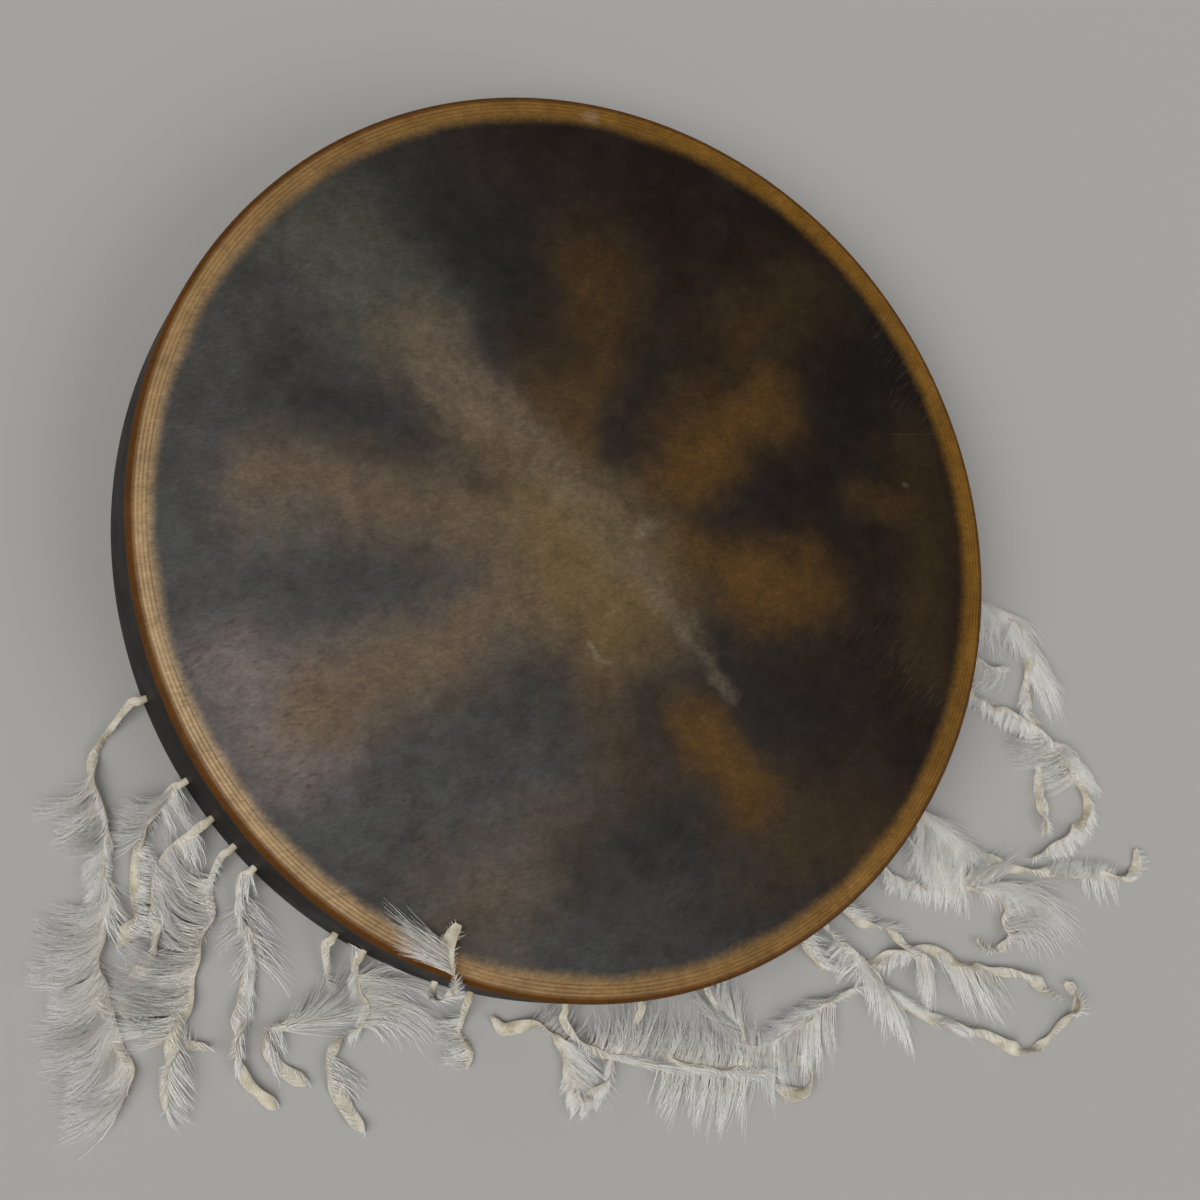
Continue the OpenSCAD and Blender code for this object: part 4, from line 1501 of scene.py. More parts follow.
@dataclass
class Fringe:
    """All the strips, from the left of the drum round its front to the right."""

    # The strip that lies up the wall and over the rim, and how it leaves its hole.
    rising: int = 8
    rising_neck: tuple[Pair, ...] = ((0, 1), (3, 1.03), (6.5, 1.25))

    def strips(self) -> list[FringeStrip]:
        """List the strips with their routes and their hair.

        Returns:
            The strips in order round the hoop.
        """
        over = DRUM.height / MM
        # Each strip: the angle of its hole, its route and its tufts.
        laid = (
            (-156.5, [
                (-248, -121), (-253, -134), (-251, -148), (-245, -161), (-243, -178), (-242, -196),
                (-244, -214), (-244, -232), (-240, -250), (-233, -267), (-227, -280), (-228, -292)], [
                (0.24, 0.40, -125, 176, 33, 11), (0.38, 0.56, -112, -150, 18, 12),
                (0.52, 0.80, -135, 160, 40, 17), (0.76, 1.0, -112, -178, 43, 20),
                (0.48, 0.60, -62, -40, 22, 3), (0.3, 0.62, -95, -90, 12, 16)]),
            (-146.0, [
                (-223, -160), (-228, -172), (-229, -185), (-228, -197), (-227, -207), (-231, -214),
                (-235, -221)], [
                (0.08, 0.36, -130, 172, 32, 14), (0.06, 0.22, -60, -72, 18, 8),
                (0.4, 1.0, -30, 5, 10, 12)]),
            (-140.8, [
                (-213, -175), (-218, -187), (-219, -200), (-218, -213), (-220, -226), (-228, -237),
                (-231, -246), (-227, -256), (-216, -264), (-203, -268), (-189, -270)], [
                (0.06, 0.36, -40, -95, 18, 14), (0.5, 0.72, 0, 50, 14, 14),
                (0.72, 0.95, 70, 100, 9, 10)]),
            (-136.7, [
                (-192, -191), (-191, -204), (-195, -219), (-199, -233), (-201, -247, 3.5),
                (-204, -260, 6), (-208, -271, 6), (-210, -284, 3), (-209, -298)], [
                (0.14, 0.45, 178, 112, 44, 13), (0.40, 0.74, -160, 160, 41, 17),
                (0.74, 1.0, -70, -50, 18, 9)]),
            (-133.3, [
                (-176, -203), (-170, -218), (-170, -232), (-172, -246), (-175, -260), (-175, -273),
                (-170, -286), (-162, -294), (-154, -299)], [
                (0.0, 0.5, -100, -82, 14, 18), (0.1, 0.4, -30, -62, 24, 3),
                (0.35, 0.78, -82, -96, 12, 14), (0.15, 0.4, -120, -150, 20, 4)]),
            (-121.0, [
                (-129, -239), (-129, -249), (-139, -255), (-152, -258), (-161, -264), (-158, -274),
                (-149, -283), (-139, -288)], [
                (0.46, 0.68, 5, 62, 42, 15), (0.48, 0.66, 0, 12, 46, 10), (0.6, 0.8, -60, -80, 14, 8)]),
            (-117.0, [
                (-114, -243), (-110, -252), (-114, -261), (-123, -267), (-127, -277), (-124, -290),
                (-117, -302), (-109, -313)], [
                (0.0, 0.16, 105, 80, 16, 18), (0.14, 0.42, 12, -52, 40, 9), (0.14, 0.3, 42, 10, 26, 6),
                (0.1, 0.45, -110, -120, 10, 14), (0.6, 0.74, -15, -60, 16, 12)]),
            (-107.5, [
                (-78.2, -247.6, 19.5), (-78, -247, 26), (-78, -246, over - 12), (-78, -243, over - 2),
                (-79, -237, over + 4), (-83, -228, over + 3), (-82, -219, over + 2.5),
                (-77, -210, over + 2.5)], [
                (0.66, 0.86, 150, 147, 34, 10)]),
            (-102.9, [
                (-58, -264), (-53, -272), (-54, -282)], [
                (0.3, 1.0, -165, 170, 16, 14)]),
            (-90.5, [
                (6, -268, 6), (22, -277, 6), (40, -280, 6), (60, -283, 3), (81, -286), (101, -287),
                (121, -285), (138, -282), (149, -285), (150, -295), (141, -301), (130, -297)], [
                (0.14, 0.5, 55, 98, 30, 9), (0.42, 0.7, 70, 115, 28, 10),
                (0.36, 0.66, -100, -112, 28, 8), (0.18, 0.7, -15, -5, 18, 12)]),
            (-80.4, [
                (38, -268), (30, -276), (27, -287), (20, -297), (10, -299), (4, -289), (2, -277),
                (-5, -267), (-15, -261), (-25, -262), (-34, -263), (-40, -257)], [
                (0.22, 0.6, -120, -120, 10, 20), (0.54, 0.74, -30, -50, 24, 8),
                (0.0, 0.2, 80, 95, 16, 8), (0.6, 0.85, 40, 70, 20, 6)]),
            (-71.0, [
                (97, -258), (107, -265), (111, -274), (120, -276), (132, -270), (147, -259),
                (167, -250), (186, -242)], [
                (0.06, 0.4, 120, 75, 30, 12), (0.42, 0.86, -105, -82, 30, 12),
                (0.5, 0.96, 195, 185, 22, 14), (0.2, 0.45, 170, 130, 30, 10)]),
            (-56.0, [
                (156, -228), (174, -232), (194, -229), (213, -222), (233, -221), (249, -227),
                (267, -232), (285, -234), (303, -237), (316, -245), (326, -250)], [
                (0.0, 0.2, -10, -20, 14, 10), (0.54, 0.76, -72, -58, 28, 9),
                (0.3, 0.5, -100, -110, 9, 8)]),
            (-52.5, [
                (173, -218, 5), (186, -229, 6.5), (197, -240, 4.5), (208, -248), (220, -254),
                (233, -260), (252, -266), (270, -270), (284, -276), (298, -280), (313, -276),
                (325, -266), (336, -258), (338, -248), (331, -240)], [
                (0.14, 0.34, -62, -84, 32, 12), (0.26, 0.5, -22, -22, 16, 14),
                (0.1, 0.24, -150, -130, 18, 6)]),
            (-49.0, [
                (188, -206), (203, -209, 4), (213, -217, 6), (224, -225, 6), (235, -232, 3)], [
                (0.1, 0.6, 0, 15, 12, 9), (0.8, 1.0, -90, -98, 24, 12)]),
            (-41.0, [
                (210, -179), (227, -183), (247, -186), (268, -186), (284, -189), (292, -197),
                (288, -205), (290, -213), (284, -220), (274, -221), (267, -214)], [
                (0.48, 0.86, 25, -55, 46, 17), (0.44, 0.62, 60, 25, 30, 12),
                (0.1, 0.45, -95, -110, 10, 10)]),
            (-35.5, [
                (225, -158), (237, -167), (248, -175), (257, -177)], [
                (0.3, 1.0, -55, -105, 26, 12)]),
            (-32.0, [
                (235, -146), (250, -153), (265, -161), (280, -168), (299, -173), (321, -174),
                (343, -174), (364, -175), (382, -176), (391, -169), (391, -158)], [
                (0.02, 0.24, -28, -38, 36, 12), (0.08, 0.3, -85, -125, 36, 18),
                (0.58, 0.84, 70, 58, 9, 14), (0.86, 1.0, -10, 20, 7, 12), (0.7, 0.86, -85, -80, 16, 3)]),
            (-13.0, [
                (272, -66), (288, -74), (303, -81, 5), (317, -89, 6.5), (331, -99, 4.5), (341, -110),
                (351, -119), (355, -130), (348, -143), (336, -153), (323, -161), (310, -166)], [
                (0.1, 0.45, -112, -112, 9, 18), (0.42, 0.64, -150, 172, 32, 16),
                (0.46, 0.68, 35, -65, 18, 14), (0.68, 0.95, -42, -60, 9, 18)]),
            (-9.0, [
                (273, -45), (286, -50), (298, -49)], [
                (0.2, 1.0, -115, -160, 22, 16)]),
            (-1.0, [
                (280, -8), (296, -13), (308, -22), (314, -36), (314, -52), (311, -66), (315, -80),
                (320, -94), (321, -108), (317, -123), (320, -138), (321, -150)], [
                (0.0, 0.3, -15, -72, 28, 16), (0.05, 0.32, -112, -100, 26, 9),
                (0.2, 0.5, -62, -66, 32, 14), (0.5, 0.8, -130, -95, 12, 12)]),
        )
        strips = [FringeStrip(number, root, route, [Tuft(*tuft) for tuft in tufts])
                  for number, (root, route, tufts) in enumerate(laid, 1)]
        strips[self.rising - 1].neck = self.rising_neck
        return strips

    def build(self) -> list[FringeStrip]:
        """Make every strip.

        Returns:
            The strips, for the knots that hold them.
        """
        hair = HairTree()
        strips = self.strips()
        for strip in strips:
            strip.build(hair)
        return strips


@dataclass
class SetOut:
    """The node tree that sets copies of one small piece out on points.

    Each point has the attributes axis and side, the directions of the copy's own Z and X.
    """

    tree: Tree | None = None

    def build(self) -> Tree:
        """Make the tree.

        Returns:
            The tree, from points to the copies on them.
        """
        tree, node, given = new_tree("set_out", Object=("Piece",))
        axis, side = (node(READ, (label,), data_type="FLOAT_VECTOR") for label in ("axis", "side"))
        turned = node("FunctionNodeAxesToRotation", {"Primary Axis": axis, "Secondary Axis": side},
                      primary_axis="Z", secondary_axis="X")
        piece = node("GeometryNodeObjectInfo", {"Object": given["Piece"]}).outputs["Geometry"]
        copies = node("GeometryNodeInstanceOnPoints", {"Points": given["Geometry"], "Instance": piece,
                                                       "Rotation": turned})
        end_tree(node, copies, given)
        return tree

    def place(self, piece: Piece, places: Array, axes: Array, sides: Array,
              material: Material, name: str) -> Piece:
        """Set copies of a piece out.

        Args:
            piece: The scratch piece, which is removed afterwards.
            places: Where the copies sit.
            axes: Direction of each copy's Z axis.
            sides: Direction of each copy's X axis.
            material: The copies' material.
            name: Name of the finished object.

        Returns:
            One mesh object with all the copies.
        """
        self.tree = self.tree or self.build()
        points = new_object(f"{name}_points", places, [])
        set_attribute(points, "axis", axes)
        set_attribute(points, "side", sides)
        made = run_tree(points, self.tree, material, {"Piece": piece}, name)
        bpy.data.objects.remove(piece)
        return made


@dataclass
class HeadHide:
    """The head: one hide over the hoop, down its wall, under its back edge and up in a flap."""

    steps: int = 360
    groove: float = 0.16 * MM
    groove_half: float = 0.8 * MM
    ripple: float = 0.35 * MM
    ripple_size: float = 55.0 * MM
    sharp: float = 40.0
    # The head doesn't ripple within this distance of the wall.
    still: float = 15.0 * MM
    join: float = 0.002 * MM
    weld: float = 0.01 * MM
    flap_rows: int = 9
    punch_sides: int = 20

    @staticmethod
    def arc(middle: Sequence[float], radius: float, start: float, end: float, count: int) -> Array:
        """Draw an arc of the profile.

        Args:
            middle: Its middle, as radius and height.
            radius: Its radius.
            start: Angle at its start, in degrees from outwards towards up.
            end: Angle at its end.
            count: Count of points.

        Returns:
            The arc's points.
        """
        turn = np.radians(np.linspace(start, end, count))
        return np.asarray(middle) + radius * np.stack([np.cos(turn), np.sin(turn)], axis=1)

    def profile(self) -> tuple[Array, Array]:
        """Draw half of the hide's section, from the axis round the flap's edge and back inside.

        Returns:
            Points as radius and height, and for each the share of the flap's length that it lies at.
        """
        # Each run has as many points as its curve needs; the rim has more, for the grooves.
        d = DRUM
        corner = d.edge_r + d.hide_t
        flat = d.radius - corner
        head = np.linspace(0, flat - 12 * MM, 24)
        rim = np.linspace(flat - 11 * MM, flat, 30)
        top = np.array([[r, d.height] for r in (*head, *rim)])
        edge = self.arc((flat, d.height - corner), corner, 90, 0, 16)
        wall = np.array([[d.radius, z] for z in np.linspace(d.height - corner, d.back_r, 10)])
        under = self.arc((d.radius - d.back_r, d.back_r), d.back_r, 0, -90, 7)
        outer = self.grooved(np.vstack([top, edge[1:]]))
        out = np.linspace(0, 1, self.flap_rows)
        flap = np.array([d.flap_foot + k * d.flap_len * d.flap_along for k in out])
        tip = flap[-1] + 0.5 * d.hide_t * (d.flap_up + 0.35 * d.flap_along)
        start = (d.hide_t - (d.hide_t * d.flap_up)[1]) / d.flap_along[1] / d.flap_len
        home = np.linspace(1, start, self.flap_rows)
        foot = d.flap_foot + d.hide_t * d.flap_up
        inner_flap = np.array([foot + k * d.flap_len * d.flap_along for k in home])
        inner = d.radius - d.hide_t
        inner_under = self.arc((d.radius - d.back_r, d.back_r), d.back_r - d.hide_t, -90, 0, 5)
        inner_edge = self.arc((flat, d.height - corner), d.edge_r, 0, 90, 9)
        back = np.array([[r, d.height - d.hide_t] for r in np.linspace(flat - 6 * MM, 0, 18)])
        middle = np.array([[inner, z] for z in np.linspace(d.back_r, d.height - corner, 6)])
        first = [outer, wall[1:], under[1:]]
        last = [inner_under, middle[1:-1], inner_edge, back]
        shares = np.concatenate([np.zeros(sum(map(len, first))), out, [1.0], np.clip(home, 0, 1),
                                 np.zeros(sum(map(len, last)))])
        return np.vstack([*first, flap, [tip], inner_flap, *last]), shares

    def grooved(self, line: Array) -> Array:
        """Sink the hide a little over each glue line of the hoop.

        Args:
            line: The outer profile over the head and the rim.

        Returns:
            The same points, sunk along the surface's own normal.
        """
        run = unit(np.gradient(line, axis=0))
        inward = np.stack([run[:, 1], -run[:, 0]], axis=1)
        deep = np.zeros(len(line))
        for seam in DRUM.ply_seams:
            near = np.clip(1 - np.abs(line[:, 0] - seam) / self.groove_half, 0, 1)
            deep = np.maximum(deep, near)
        return line + self.groove * deep[:, None] * inward

    def tree(self) -> Tree:
        """Make the node tree that turns the profile into the hide.

        Returns:
            The tree, from the profile's points to the closed skin.
        """
        tree, node, given = new_tree("stretched_hide", Int=("Rows", "Steps"), Float=(
            "Ripple", "Ripple Size", "Still", "Scallops", "Edge", "Bite From", "Bite Radius", "Slope"))
        around = node(MATH, (given["Steps"], 1.0), "ADD")
        grid = node("GeometryNodeMeshGrid", {"Size X": 1.0, "Size Y": 1.0, "Vertices X": around,
                                             "Vertices Y": given["Rows"]})
        spot = node(SPLIT, (node(PLACE),))
        turn = node(MATH, (spot.outputs["X"], TURN), "MULTIPLY")
        last = node(MATH, (given["Rows"], 1.0), "SUBTRACT")
        share = node(MATH, (spot.outputs["Y"], 0.5), "ADD")
        row = node(MATH, (share, last), "MULTIPLY")
        row = node(MATH, (row,), "ROUND")
        point = node(INDEXED, {"Geometry": given["Geometry"], "Value": node(PLACE), "Index": row},
                     data_type="FLOAT_VECTOR")
        part = node(SPLIT, (point,))
        cut = self.scallop(node, given, turn, row)
        out = node(MATH, (part.outputs["X"], cut), "ADD")
        low = node(MATH, (cut, given["Slope"]), "MULTIPLY")
        low = node(MATH, (part.outputs["Z"], low), "SUBTRACT")
        away = {}
        for axis, wave in (("X", "COSINE"), ("Y", "SINE")):
            swing = node(MATH, (turn,), wave)
            away[axis] = node(MATH, (out, swing), "MULTIPLY")
        level = node(JOIN, (away["X"], away["Y"], 0.0))
        often = node(MATH, (1.0, given["Ripple Size"]), "DIVIDE")
        noise = node(NOISE, {"Vector": level, "Scale": often, "Detail": 1.0})
        noise = node(MATH, (noise, 0.5), "SUBTRACT")
        calm = node(RANGE, (part.outputs["X"], given["Still"], 0.0, 0.0, given["Ripple"]))
        height = node(MATH, (noise, calm, low), "MULTIPLY_ADD")
        place = node(JOIN, (away["X"], away["Y"], height))
        turned = node(MOVE, {"Geometry": grid, "Position": place})
        closed = node("GeometryNodeMergeByDistance", {"Geometry": turned, "Distance": self.join})
        end_tree(node, closed, given)
        return tree

    @staticmethod
    def scallop(node: Adder, given: Any, turn: Any, row: Any) -> Node:
        """Work out how far a point of the flap is drawn outwards by the scallop at its angle.

        Args:
            node: Adds a node to the hide's tree.
            given: Sockets of the tree's inputs.
            turn: Node that gives the angle round the drum.
            row: Node that gives the point's number in the profile.

        Returns:
            The node that gives the distance.
        """
        step = node(MATH, (TURN, given["Scallops"]), "DIVIDE")
        half = node(MATH, (step, 0.5), "MULTIPLY")
        moved = node(MATH, (turn, half), "ADD")
        near = node(MATH, (moved, step), "SNAP")
        aside = node(MATH, (turn, near), "SUBTRACT")
        ahead, across = (node(MATH, (aside,), wave) for wave in ("COSINE", "SINE"))
        across = node(MATH, (across, given["Bite From"]), "MULTIPLY")
        squares = [node(MATH, (side, side), "MULTIPLY") for side in (given["Bite Radius"], across)]
        rest = node(MATH, (squares[0], squares[1]), "SUBTRACT")
        rest = node(MATH, (rest,), "SQRT")
        reach = node(MATH, (ahead, given["Bite From"], rest), "MULTIPLY_ADD")
        deep = node(MATH, (reach, given["Edge"]), "SUBTRACT")
        deep = node(MATH, (deep, 0.0), "MAXIMUM")
        flap = node(READ, ("flap",), data_type="FLOAT")
        share = node(INDEXED, {"Geometry": given["Geometry"], "Value": flap, "Index": row},
                     data_type="FLOAT")
        return node(MATH, (deep, share), "MULTIPLY")

    def pins(self, strips: Sequence[FringeStrip], set_out: SetOut) -> list[Piece]:
        """Make the punches for the strip holes and the lace holes.

        Args:
            strips: The strips that pass through the hide.
            set_out: The tree that sets the punches out.

        Returns:
            Two scratch objects.
        """
        hide = SmokedRawhide().material()
        outward = spokes(np.radians([s.root for s in strips]))
        at_wall = (DRUM.radius - DRUM.hide_t / 2) * outward + DRUM.thong_z * UP
        upright = np.tile(UP, (len(outward), 1))
        thongs = set_out.place(self.punch(DRUM.thong_d / 2 + DRUM.thong_gap), at_wall, outward, upright,
                               hide, "strip_punches")
        outward = spokes((np.arange(DRUM.lace_hole_count) + 0.5) * TURN / DRUM.lace_hole_count)
        at_flap = DRUM.lace_hole[0] * outward + DRUM.lace_hole[1] * UP
        axes = DRUM.flap_up[0] * outward + DRUM.flap_up[1] * UP
        laces = set_out.place(self.punch(DRUM.lace_hole_d / 2), at_flap, axes, np.cross(axes, UP),
                              hide, "lace_punches")
        return [thongs, laces]

    def punch(self, radius: float) -> Piece:
        """Make one round punch along Z, four hide thicknesses long.

        Args:
            radius: Its radius.

        Returns:
            A scratch object.
        """
        ring = spokes(np.linspace(0, TURN, self.punch_sides, endpoint=False)) * radius
        ends = [ring + k * 2 * DRUM.hide_t * UP for k in (1, -1)]
        return new_object("punch", np.vstack(ends), tube_faces(2, self.punch_sides))

    def build(self, strips: Sequence[FringeStrip], set_out: SetOut) -> None:
        """Make the hide, with its holes.

        Args:
            strips: The strips that pass through the hide.
            set_out: The tree that sets the punches out.
        """
        line, shares = self.profile()
        verts = np.stack([line[:, 0], np.zeros(len(line)), line[:, 1]], axis=1)
        source = new_object("hide_profile", verts, [])
        set_attribute(source, "flap", shares)
        edge = float(DRUM.flap_foot[0]) - DRUM.flap_run
        deepest = edge + DRUM.scallop_in
        half = math.pi / DRUM.lace_hole_count - math.asin(DRUM.tongue_w / 2 / edge)
        foot = edge * math.cos(half)
        bite = (deepest ** 2 + edge ** 2 - 2 * deepest * foot) / (2 * (deepest - foot))
        hide = run_tree(source, self.tree(), SmokedRawhide().material(), {
            "Rows": len(line), "Steps": self.steps, "Ripple": self.ripple, "Ripple Size": self.ripple_size,
            "Still": DRUM.radius - self.still, "Scallops": float(DRUM.lace_hole_count), "Edge": edge,
            "Bite From": deepest - bite, "Bite Radius": bite, "Slope": DRUM.flap_rise / DRUM.flap_run},
            "smoked_head_hide")
        for punch in self.pins(strips, set_out):
            cut = hide.modifiers.new("holes", "BOOLEAN")
            cut.object = punch
            cut.solver = "EXACT"
            punch.hide_render = True
        graph = bpy.context.evaluated_depsgraph_get()
        mesh = bpy.data.meshes.new_from_object(hide.evaluated_get(graph), depsgraph=graph)
        punches = [m.object for m in hide.modifiers]
        hide.modifiers.clear()
        hide.data = mesh
        for punch in punches:
            bpy.data.objects.remove(punch)
        clean = bmesh.new()
        clean.from_mesh(mesh)
        bmesh.ops.remove_doubles(clean, verts=clean.verts, dist=self.weld)
        bmesh.ops.dissolve_degenerate(clean, edges=clean.edges, dist=self.weld)
        clean.to_mesh(mesh)
        clean.free()
        mesh.polygons.foreach_set("use_smooth", [True] * len(mesh.polygons))
        mesh.set_sharp_from_angle(angle=math.radians(self.sharp))
        hand_over(hide, Slot.HEAD, "head_hide")


@dataclass
class Lacing:
    """Four laces between the flap and the iron ring, each gathered by a sewn leather sleeve."""

    arms: int = 4
    ring_r: float = 24.0 * MM
    ring_bar: float = 8.0 * MM
    lace_d: float = 3.2 * MM
    lace_gap: float = 0.2 * MM
    level: float = 12.0 * MM
    loop_step: float = 35.0
    sleeve_stand: float = 8.0 * MM
    sleeve_len: float = 44.0 * MM
    sleeve_wall: float = 1.6 * MM
    stopper_h: float = 3.0 * MM
    bend: float = 3.0 * MM
    spacing: float = 1.0 * MM
    flatness: float = 0.84
    twist: float = 300.0
    lace_sides: int = 10
    # The stopper knot at each end: distance from the end, in millimetres, and girth there.
    stopper: tuple[Pair, ...] = (
        (0, 0.45), (0.4, 1.2), (1.1, 1.7), (1.9, 1.85), (2.8, 1.7), (3.6, 1.3), (4.4, 1.0))
    # The sleeve's leather laps over itself, its ends are worn round, it is pressed a little flat on four
    # sides, and it is uneven.
    lap: float = 0.45 * MM
    worn: float = 0.5 * MM
    pressed: float = 0.12 * MM
    uneven: float = 0.1 * MM
    ripples: float = 19.0
    sharp: float = 50.0
    seam_turn: float = -62.0
    # A stitch lies so far beside the lap's edge and so deep in the leather.
    stitch_aside: float = 2.4 * MM
    stitch_sunk: float = 0.25 * MM
    stitch_len: float = 3.0 * MM
    stitch_d: float = 0.7 * MM
    stitch_step: float = 4.2 * MM
    # It thins towards its ends, and is bowed by these shares of its thickness at its middle and ends.
    stitch_thin: float = 0.8
    stitch_bow: Pair = (0.2, 0.6)
    around: int = 72

    @property
    def pitch(self) -> float:
        """Distance between the two laces of a pair."""
        return self.lace_d + 3 * self.lace_gap

    @property
    def loop_r(self) -> float:
        """Radius of a lace's loop round the ring's bar."""
        clear = self.ring_bar / 2 + self.lace_gap + self.lace_d / 2
        return clear / math.cos(math.radians(self.loop_step / 2))

    @property
    def sleeve_from(self) -> float:
        """Radius where the sleeves begin."""
        return self.ring_r + self.loop_r + self.sleeve_stand

    @property
    def bore_r(self) -> float:
        """Radius inside a sleeve."""
        return self.pitch / math.sqrt(2) + self.lace_d / 2 + self.lace_gap

    def at_hole(self, turn: float, along: float, above: float) -> Array:
        """Find a place near a lace hole of the flap.

        Args:
            turn: The hole's angle round the drum, in degrees.
            along: Distance from the hole towards the flap's edge.
            above: Distance from the flap's middle, square to it.

        Returns:
            The place, in the arm's own frame.
        """
        out, high = DRUM.lace_hole + along * DRUM.flap_along + above * DRUM.flap_up
        return np.array([out * math.cos(math.radians(turn)), out * math.sin(math.radians(turn)), high])

    def half_lace(self, outer: float, inner: float, side: int) -> list[Array]:
        """Lead half a lace from one hole round the ring to the next hole.

        Args:
            outer: Angle of the hole with the stopper knot.
            inner: Angle of the hole where the lace crosses to its other half.
            side: Side of the arm, 1 or -1.

        Returns:
            Corner points, in the arm's own frame.
        """
        off = DRUM.hide_t / 2 + self.lace_gap + self.lace_d / 2
        y = side * self.pitch / 2
        legs = []
        for turn, level in ((outer, 1), (inner, -1)):
            z = self.level + level * self.pitch / 2
            legs.append([self.at_hole(turn, 0, -off), self.at_hole(turn, DRUM.lace_hole_in, -off),
                         np.array([self.sleeve_from + self.sleeve_len + self.lace_d, y, z]),
                         np.array([self.sleeve_from - self.lace_d, y, z])])
        turns = np.radians(180 + self.loop_step * np.arange(-3, 4))
        radius = self.loop_r
        loop = [np.array([self.ring_r + radius * math.cos(a), y, self.level + radius * math.sin(a)])
                for a in turns]
        start, last = (self.at_hole(turn, 0, off) for turn in (outer, inner))
        return [start + self.stopper_h * UP, start, *legs[0], *loop, *legs[1][::-1], last]

    def path(self) -> Array:
        """Lead one whole lace through its four holes.

        Returns:
            Evenly spaced points, in the arm's own frame.
        """
        step = 360 / DRUM.lace_hole_count
        off = DRUM.hide_t / 2 + self.lace_gap + self.lace_d / 2
        bridge = [self.at_hole(step * k, 0, off) for k in (-0.25, 0.0, 0.25)]
        corners = np.array([*self.half_lace(-1.5 * step, -0.5 * step, -1), *bridge,
                            *self.half_lace(1.5 * step, 0.5 * step, 1)[::-1]])
        eased = [corners[:1]]
        t = np.linspace(0, 1, 7)[:, None]
        for before, corner, after in zip(corners[:-2], corners[1:-1], corners[2:]):
            ends = [corner + (p - corner) * min(0.5, self.bend / np.linalg.norm(p - corner))
                    for p in (before, after)]
            eased.append((1 - t) ** 2 * ends[0] + 2 * t * (1 - t) * corner + t ** 2 * ends[1])
        points = np.vstack([*eased, corners[-1:]])
        run = np.concatenate([[0], np.cumsum(np.linalg.norm(np.diff(points, axis=0), axis=1))])
        even = np.linspace(0, run[-1], int(run[-1] / self.spacing) + 1)
        return np.stack([np.interp(even, run, points[:, k]) for k in range(3)], axis=1)

    @staticmethod
    def lace_tree() -> Tree:
        """Make the node tree that lays a twisted lace along a line.

        Returns:
            The tree, from a line with the attribute girth to the lace's mesh.
        """
        tree, node, given = new_tree("laid_lace", Float=("Thickness", "Flatness", "Twist"), Int=("Sides",))
        line = node("GeometryNodeMeshToCurve", {"Mesh": given["Geometry"]})
        run = node("GeometryNodeSplineParameter").outputs["Length"]
        turn = node(MATH, (run, given["Twist"]), "MULTIPLY")
        line = node("GeometryNodeSetCurveTilt", {"Curve": line, "Tilt": turn})
        radius = node(MATH, (given["Thickness"], 0.5), "MULTIPLY")
        ring = node("GeometryNodeCurvePrimitiveCircle", {"Resolution": given["Sides"], "Radius": radius})
        oval = node(JOIN, (1.0, given["Flatness"], 1.0))
        ring = node("GeometryNodeTransform", {"Geometry": ring, "Scale": oval})
        girth = node(READ, ("girth",), data_type="FLOAT")
        tube = node("GeometryNodeCurveToMesh", {"Curve": line, "Profile Curve": ring, "Scale": girth,
                                                "Fill Caps": True})
        end_tree(node, node(SMOOTH, (tube,)), given)
        return tree

    def sleeve(self, name: str) -> Piece:
        """Roll one leather sleeve along X, with its overlapping edge.

        Args:
            name: Name of the piece.

        Returns:
            The sleeve, still in the arm's own frame.
        """
        outer = self.bore_r + self.sleeve_wall
        shares = np.linspace(0, 1, 13)
        rings = []
        for turn in np.linspace(0, TURN, self.around, endpoint=False):
            seam = math.radians(self.seam_turn)
            past = (turn - seam) / TURN % 1
            high = outer - self.lap * (1 - np.clip(past * 1.02, 0, 1) ** 2)
            high -= self.pressed * math.sin(2 * turn) ** 2
            section = []
            for s in shares:
                worn = self.worn if s in (0, 1) else 0
                section.append((s, high - worn - self.uneven * (1 + math.sin(self.ripples * s + turn))))
            section += [(s, self.bore_r) for s in shares[::-3]]
            rings.append([(self.sleeve_from + s * self.sleeve_len, r * math.cos(turn),
                           self.level + r * math.sin(turn)) for s, r in section])
        rings = np.array(rings)
        made = new_object(name, rings.reshape(-1, 3), tube_faces(len(rings), rings.shape[1], closed=True))
        made.data.set_sharp_from_angle(angle=math.radians(self.sharp))
        made.data.materials.append(GripLeather().material())
        return made

    def stitch(self) -> Piece:
        """Make one stitch of thread along X, bowed over the leather.

        Returns:
            A scratch object.
        """
        turns = np.linspace(0, TURN, 6, endpoint=False)
        rings = []
        for s in np.linspace(-1, 1, 7):
            r = self.stitch_d / 2 * math.sqrt(1 - self.stitch_thin * s ** 2)
            x = s * self.stitch_len / 2
            z = self.stitch_d * (self.stitch_bow[0] - self.stitch_bow[1] * s ** 2)
            rings.append([(x, r * math.cos(a), z + r * math.sin(a)) for a in turns])
        rings = np.array(rings)[:, ::-1]
        return new_object("stitch", rings.reshape(-1, 3), tube_faces(len(rings), 6))

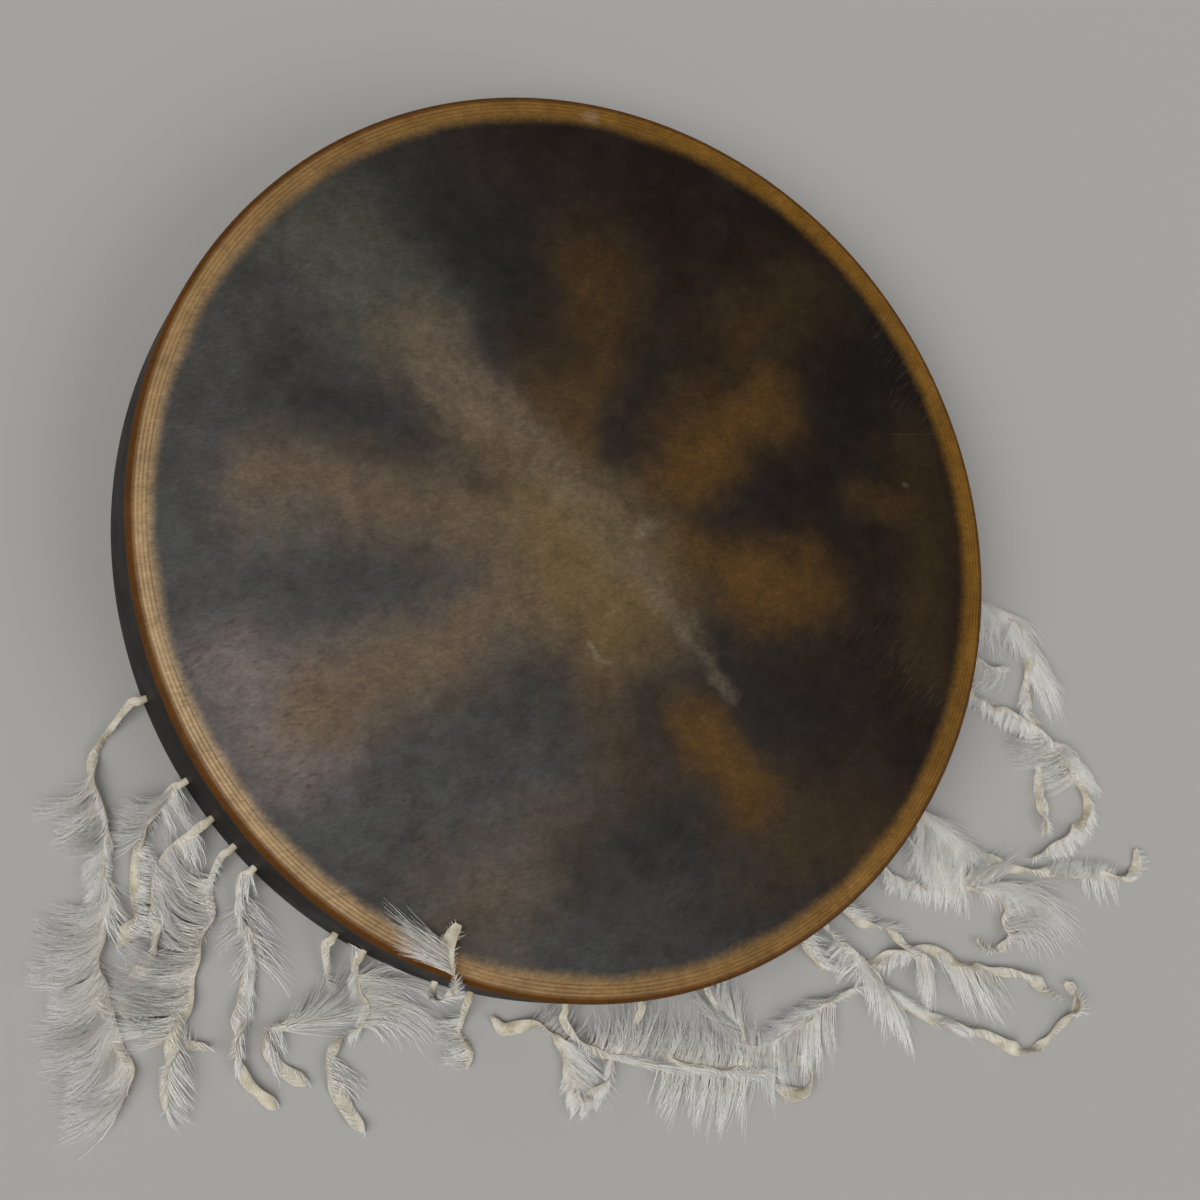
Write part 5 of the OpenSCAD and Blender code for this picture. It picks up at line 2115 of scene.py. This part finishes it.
    def build(self, set_out: SetOut) -> None:
        """Make the laces and the sleeves, and dress the ring.

        Args:
            set_out: The tree that sets the stitches out.
        """
        line, tree = self.path(), self.lace_tree()
        from_end = np.minimum(np.arange(len(line)), np.arange(len(line))[::-1]) * self.spacing / MM
        girth = np.interp(from_end, *np.array(self.stopper).T)
        seam = math.radians(self.seam_turn) - self.stitch_aside / self.bore_r
        count = int(self.sleeve_len / self.stitch_step)
        middle = self.sleeve_from + self.sleeve_len / 2
        along = middle + (np.arange(count) - (count - 1) / 2) * self.stitch_step
        high = self.bore_r + self.sleeve_wall - self.stitch_sunk
        stitches = np.stack([along, np.full(count, high * math.cos(seam)),
                             np.full(count, self.level + high * math.sin(seam))], axis=1)
        for number in range(1, self.arms + 1):
            turn = np.array(Matrix.Rotation((number - 1) * TURN / self.arms, 3, "Z"))
            source = new_object(f"lace_line_{number}", line @ turn.T, [],
                                [(i, i + 1) for i in range(len(line) - 1)])
            set_attribute(source, "girth", girth)
            lace = run_tree(source, tree, LaceRawhide().material(), {
                "Thickness": self.lace_d, "Flatness": self.flatness, "Twist": self.twist,
                "Sides": self.lace_sides}, f"twisted_lace_{number}")
            hand_over(lace, Slot.LACE, f"lace_{number}")
            sleeve = self.sleeve(f"sewn_sleeve_{number}")
            sleeve.data.transform(Matrix(turn).to_4x4())
            hand_over(sleeve, Slot.GRIP, f"grip_sleeve_{number}")
            axes = np.tile(turn @ [0, math.cos(seam), math.sin(seam)], (count, 1))
            sides = np.tile(turn @ [1, 0, 0], (count, 1))
            thread = set_out.place(self.stitch(), stitches @ turn.T, axes, sides, WaxedThread().material(),
                                   f"sleeve_stitches_{number}")
            hand_over(thread, Slot.GRIP)
        dress_node("tie_ring", ForgedIron())


@dataclass
class StripKnots:
    """The strips' knots inside the hoop, each with its shank through the hoop and the hide."""

    knot_d: float = 8.0 * MM
    knot_t: float = 5.0 * MM
    cord_r: float = 1.3 * MM
    shank_d: float = 3.6 * MM
    shank_sides: int = 14
    turns: int = 96
    sides: int = 8

    def knot(self) -> Piece:
        """Tie one knot round Z, with its shank towards +Z.

        Returns:
            A scratch object, whose origin lies on the hoop's inner face.
        """
        t = np.linspace(0, TURN, self.turns, endpoint=False)
        wide = (self.knot_d / 2 - self.cord_r) / 3
        deep = self.knot_t / 2 - self.cord_r
        line = np.stack([wide * (np.sin(t) + 2 * np.sin(2 * t)), wide * (np.cos(t) - 2 * np.cos(2 * t)),
                         -self.knot_t / 2 - deep * np.sin(3 * t)], axis=1)
        ahead = unit(np.roll(line, -1, axis=0) - np.roll(line, 1, axis=0))
        side = unit(np.cross(ahead, UP))
        above = np.cross(side, ahead)
        turn = np.linspace(0, TURN, self.sides, endpoint=False)[None, :, None]
        round_it = np.cos(turn) * side[:, None] + np.sin(turn) * above[:, None]
        rings = line[:, None] + self.cord_r * round_it
        faces = tube_faces(self.turns, self.sides, closed=True)
        ring = spokes(np.linspace(0, TURN, self.shank_sides, endpoint=False)) * self.shank_d / 2
        shank = np.vstack([ring + z * UP for z in (DRUM.radius - DRUM.hoop_in, -self.knot_t / 2)])
        base = self.turns * self.sides
        faces += [tuple(base + k for k in face) for face in tube_faces(2, self.shank_sides)]
        return new_object("knot", np.vstack([rings.reshape(-1, 3), shank]), faces)

    def build(self, strips: Sequence[FringeStrip], set_out: SetOut) -> None:
        """Make every knot.

        Args:
            strips: The strips that the knots hold.
            set_out: The tree that sets the knots out.
        """
        outward = spokes(np.radians([s.root for s in strips]))
        places = DRUM.hoop_in * outward + DRUM.thong_z * UP
        knots = set_out.place(self.knot(), places, outward, np.tile(UP, (len(outward), 1)),
                              FringeRawhide().material(), "strip_knots")
        hand_over(knots, Slot.FRINGE, "thong_knots")


@dataclass
class Hoop:
    """The laminated hoop, whose CAD plies keep their shape."""

    def dress(self) -> None:
        """Give every ply its wood."""
        for number in range(1, DRUM.ply_count + 1):
            dress_node(f"hoop_ply_{number}", BentAsh())


def main() -> None:
    """Build the drum's looks in order."""
    logging.basicConfig(level=logging.INFO, format="%(name)s %(message)s")
    Studio().build()
    strips = Fringe().build()
    set_out = SetOut()
    HeadHide().build(strips, set_out)
    Hoop().dress()
    Lacing().build(set_out)
    StripKnots().build(strips, set_out)


if __name__ == "__main__":
    main()
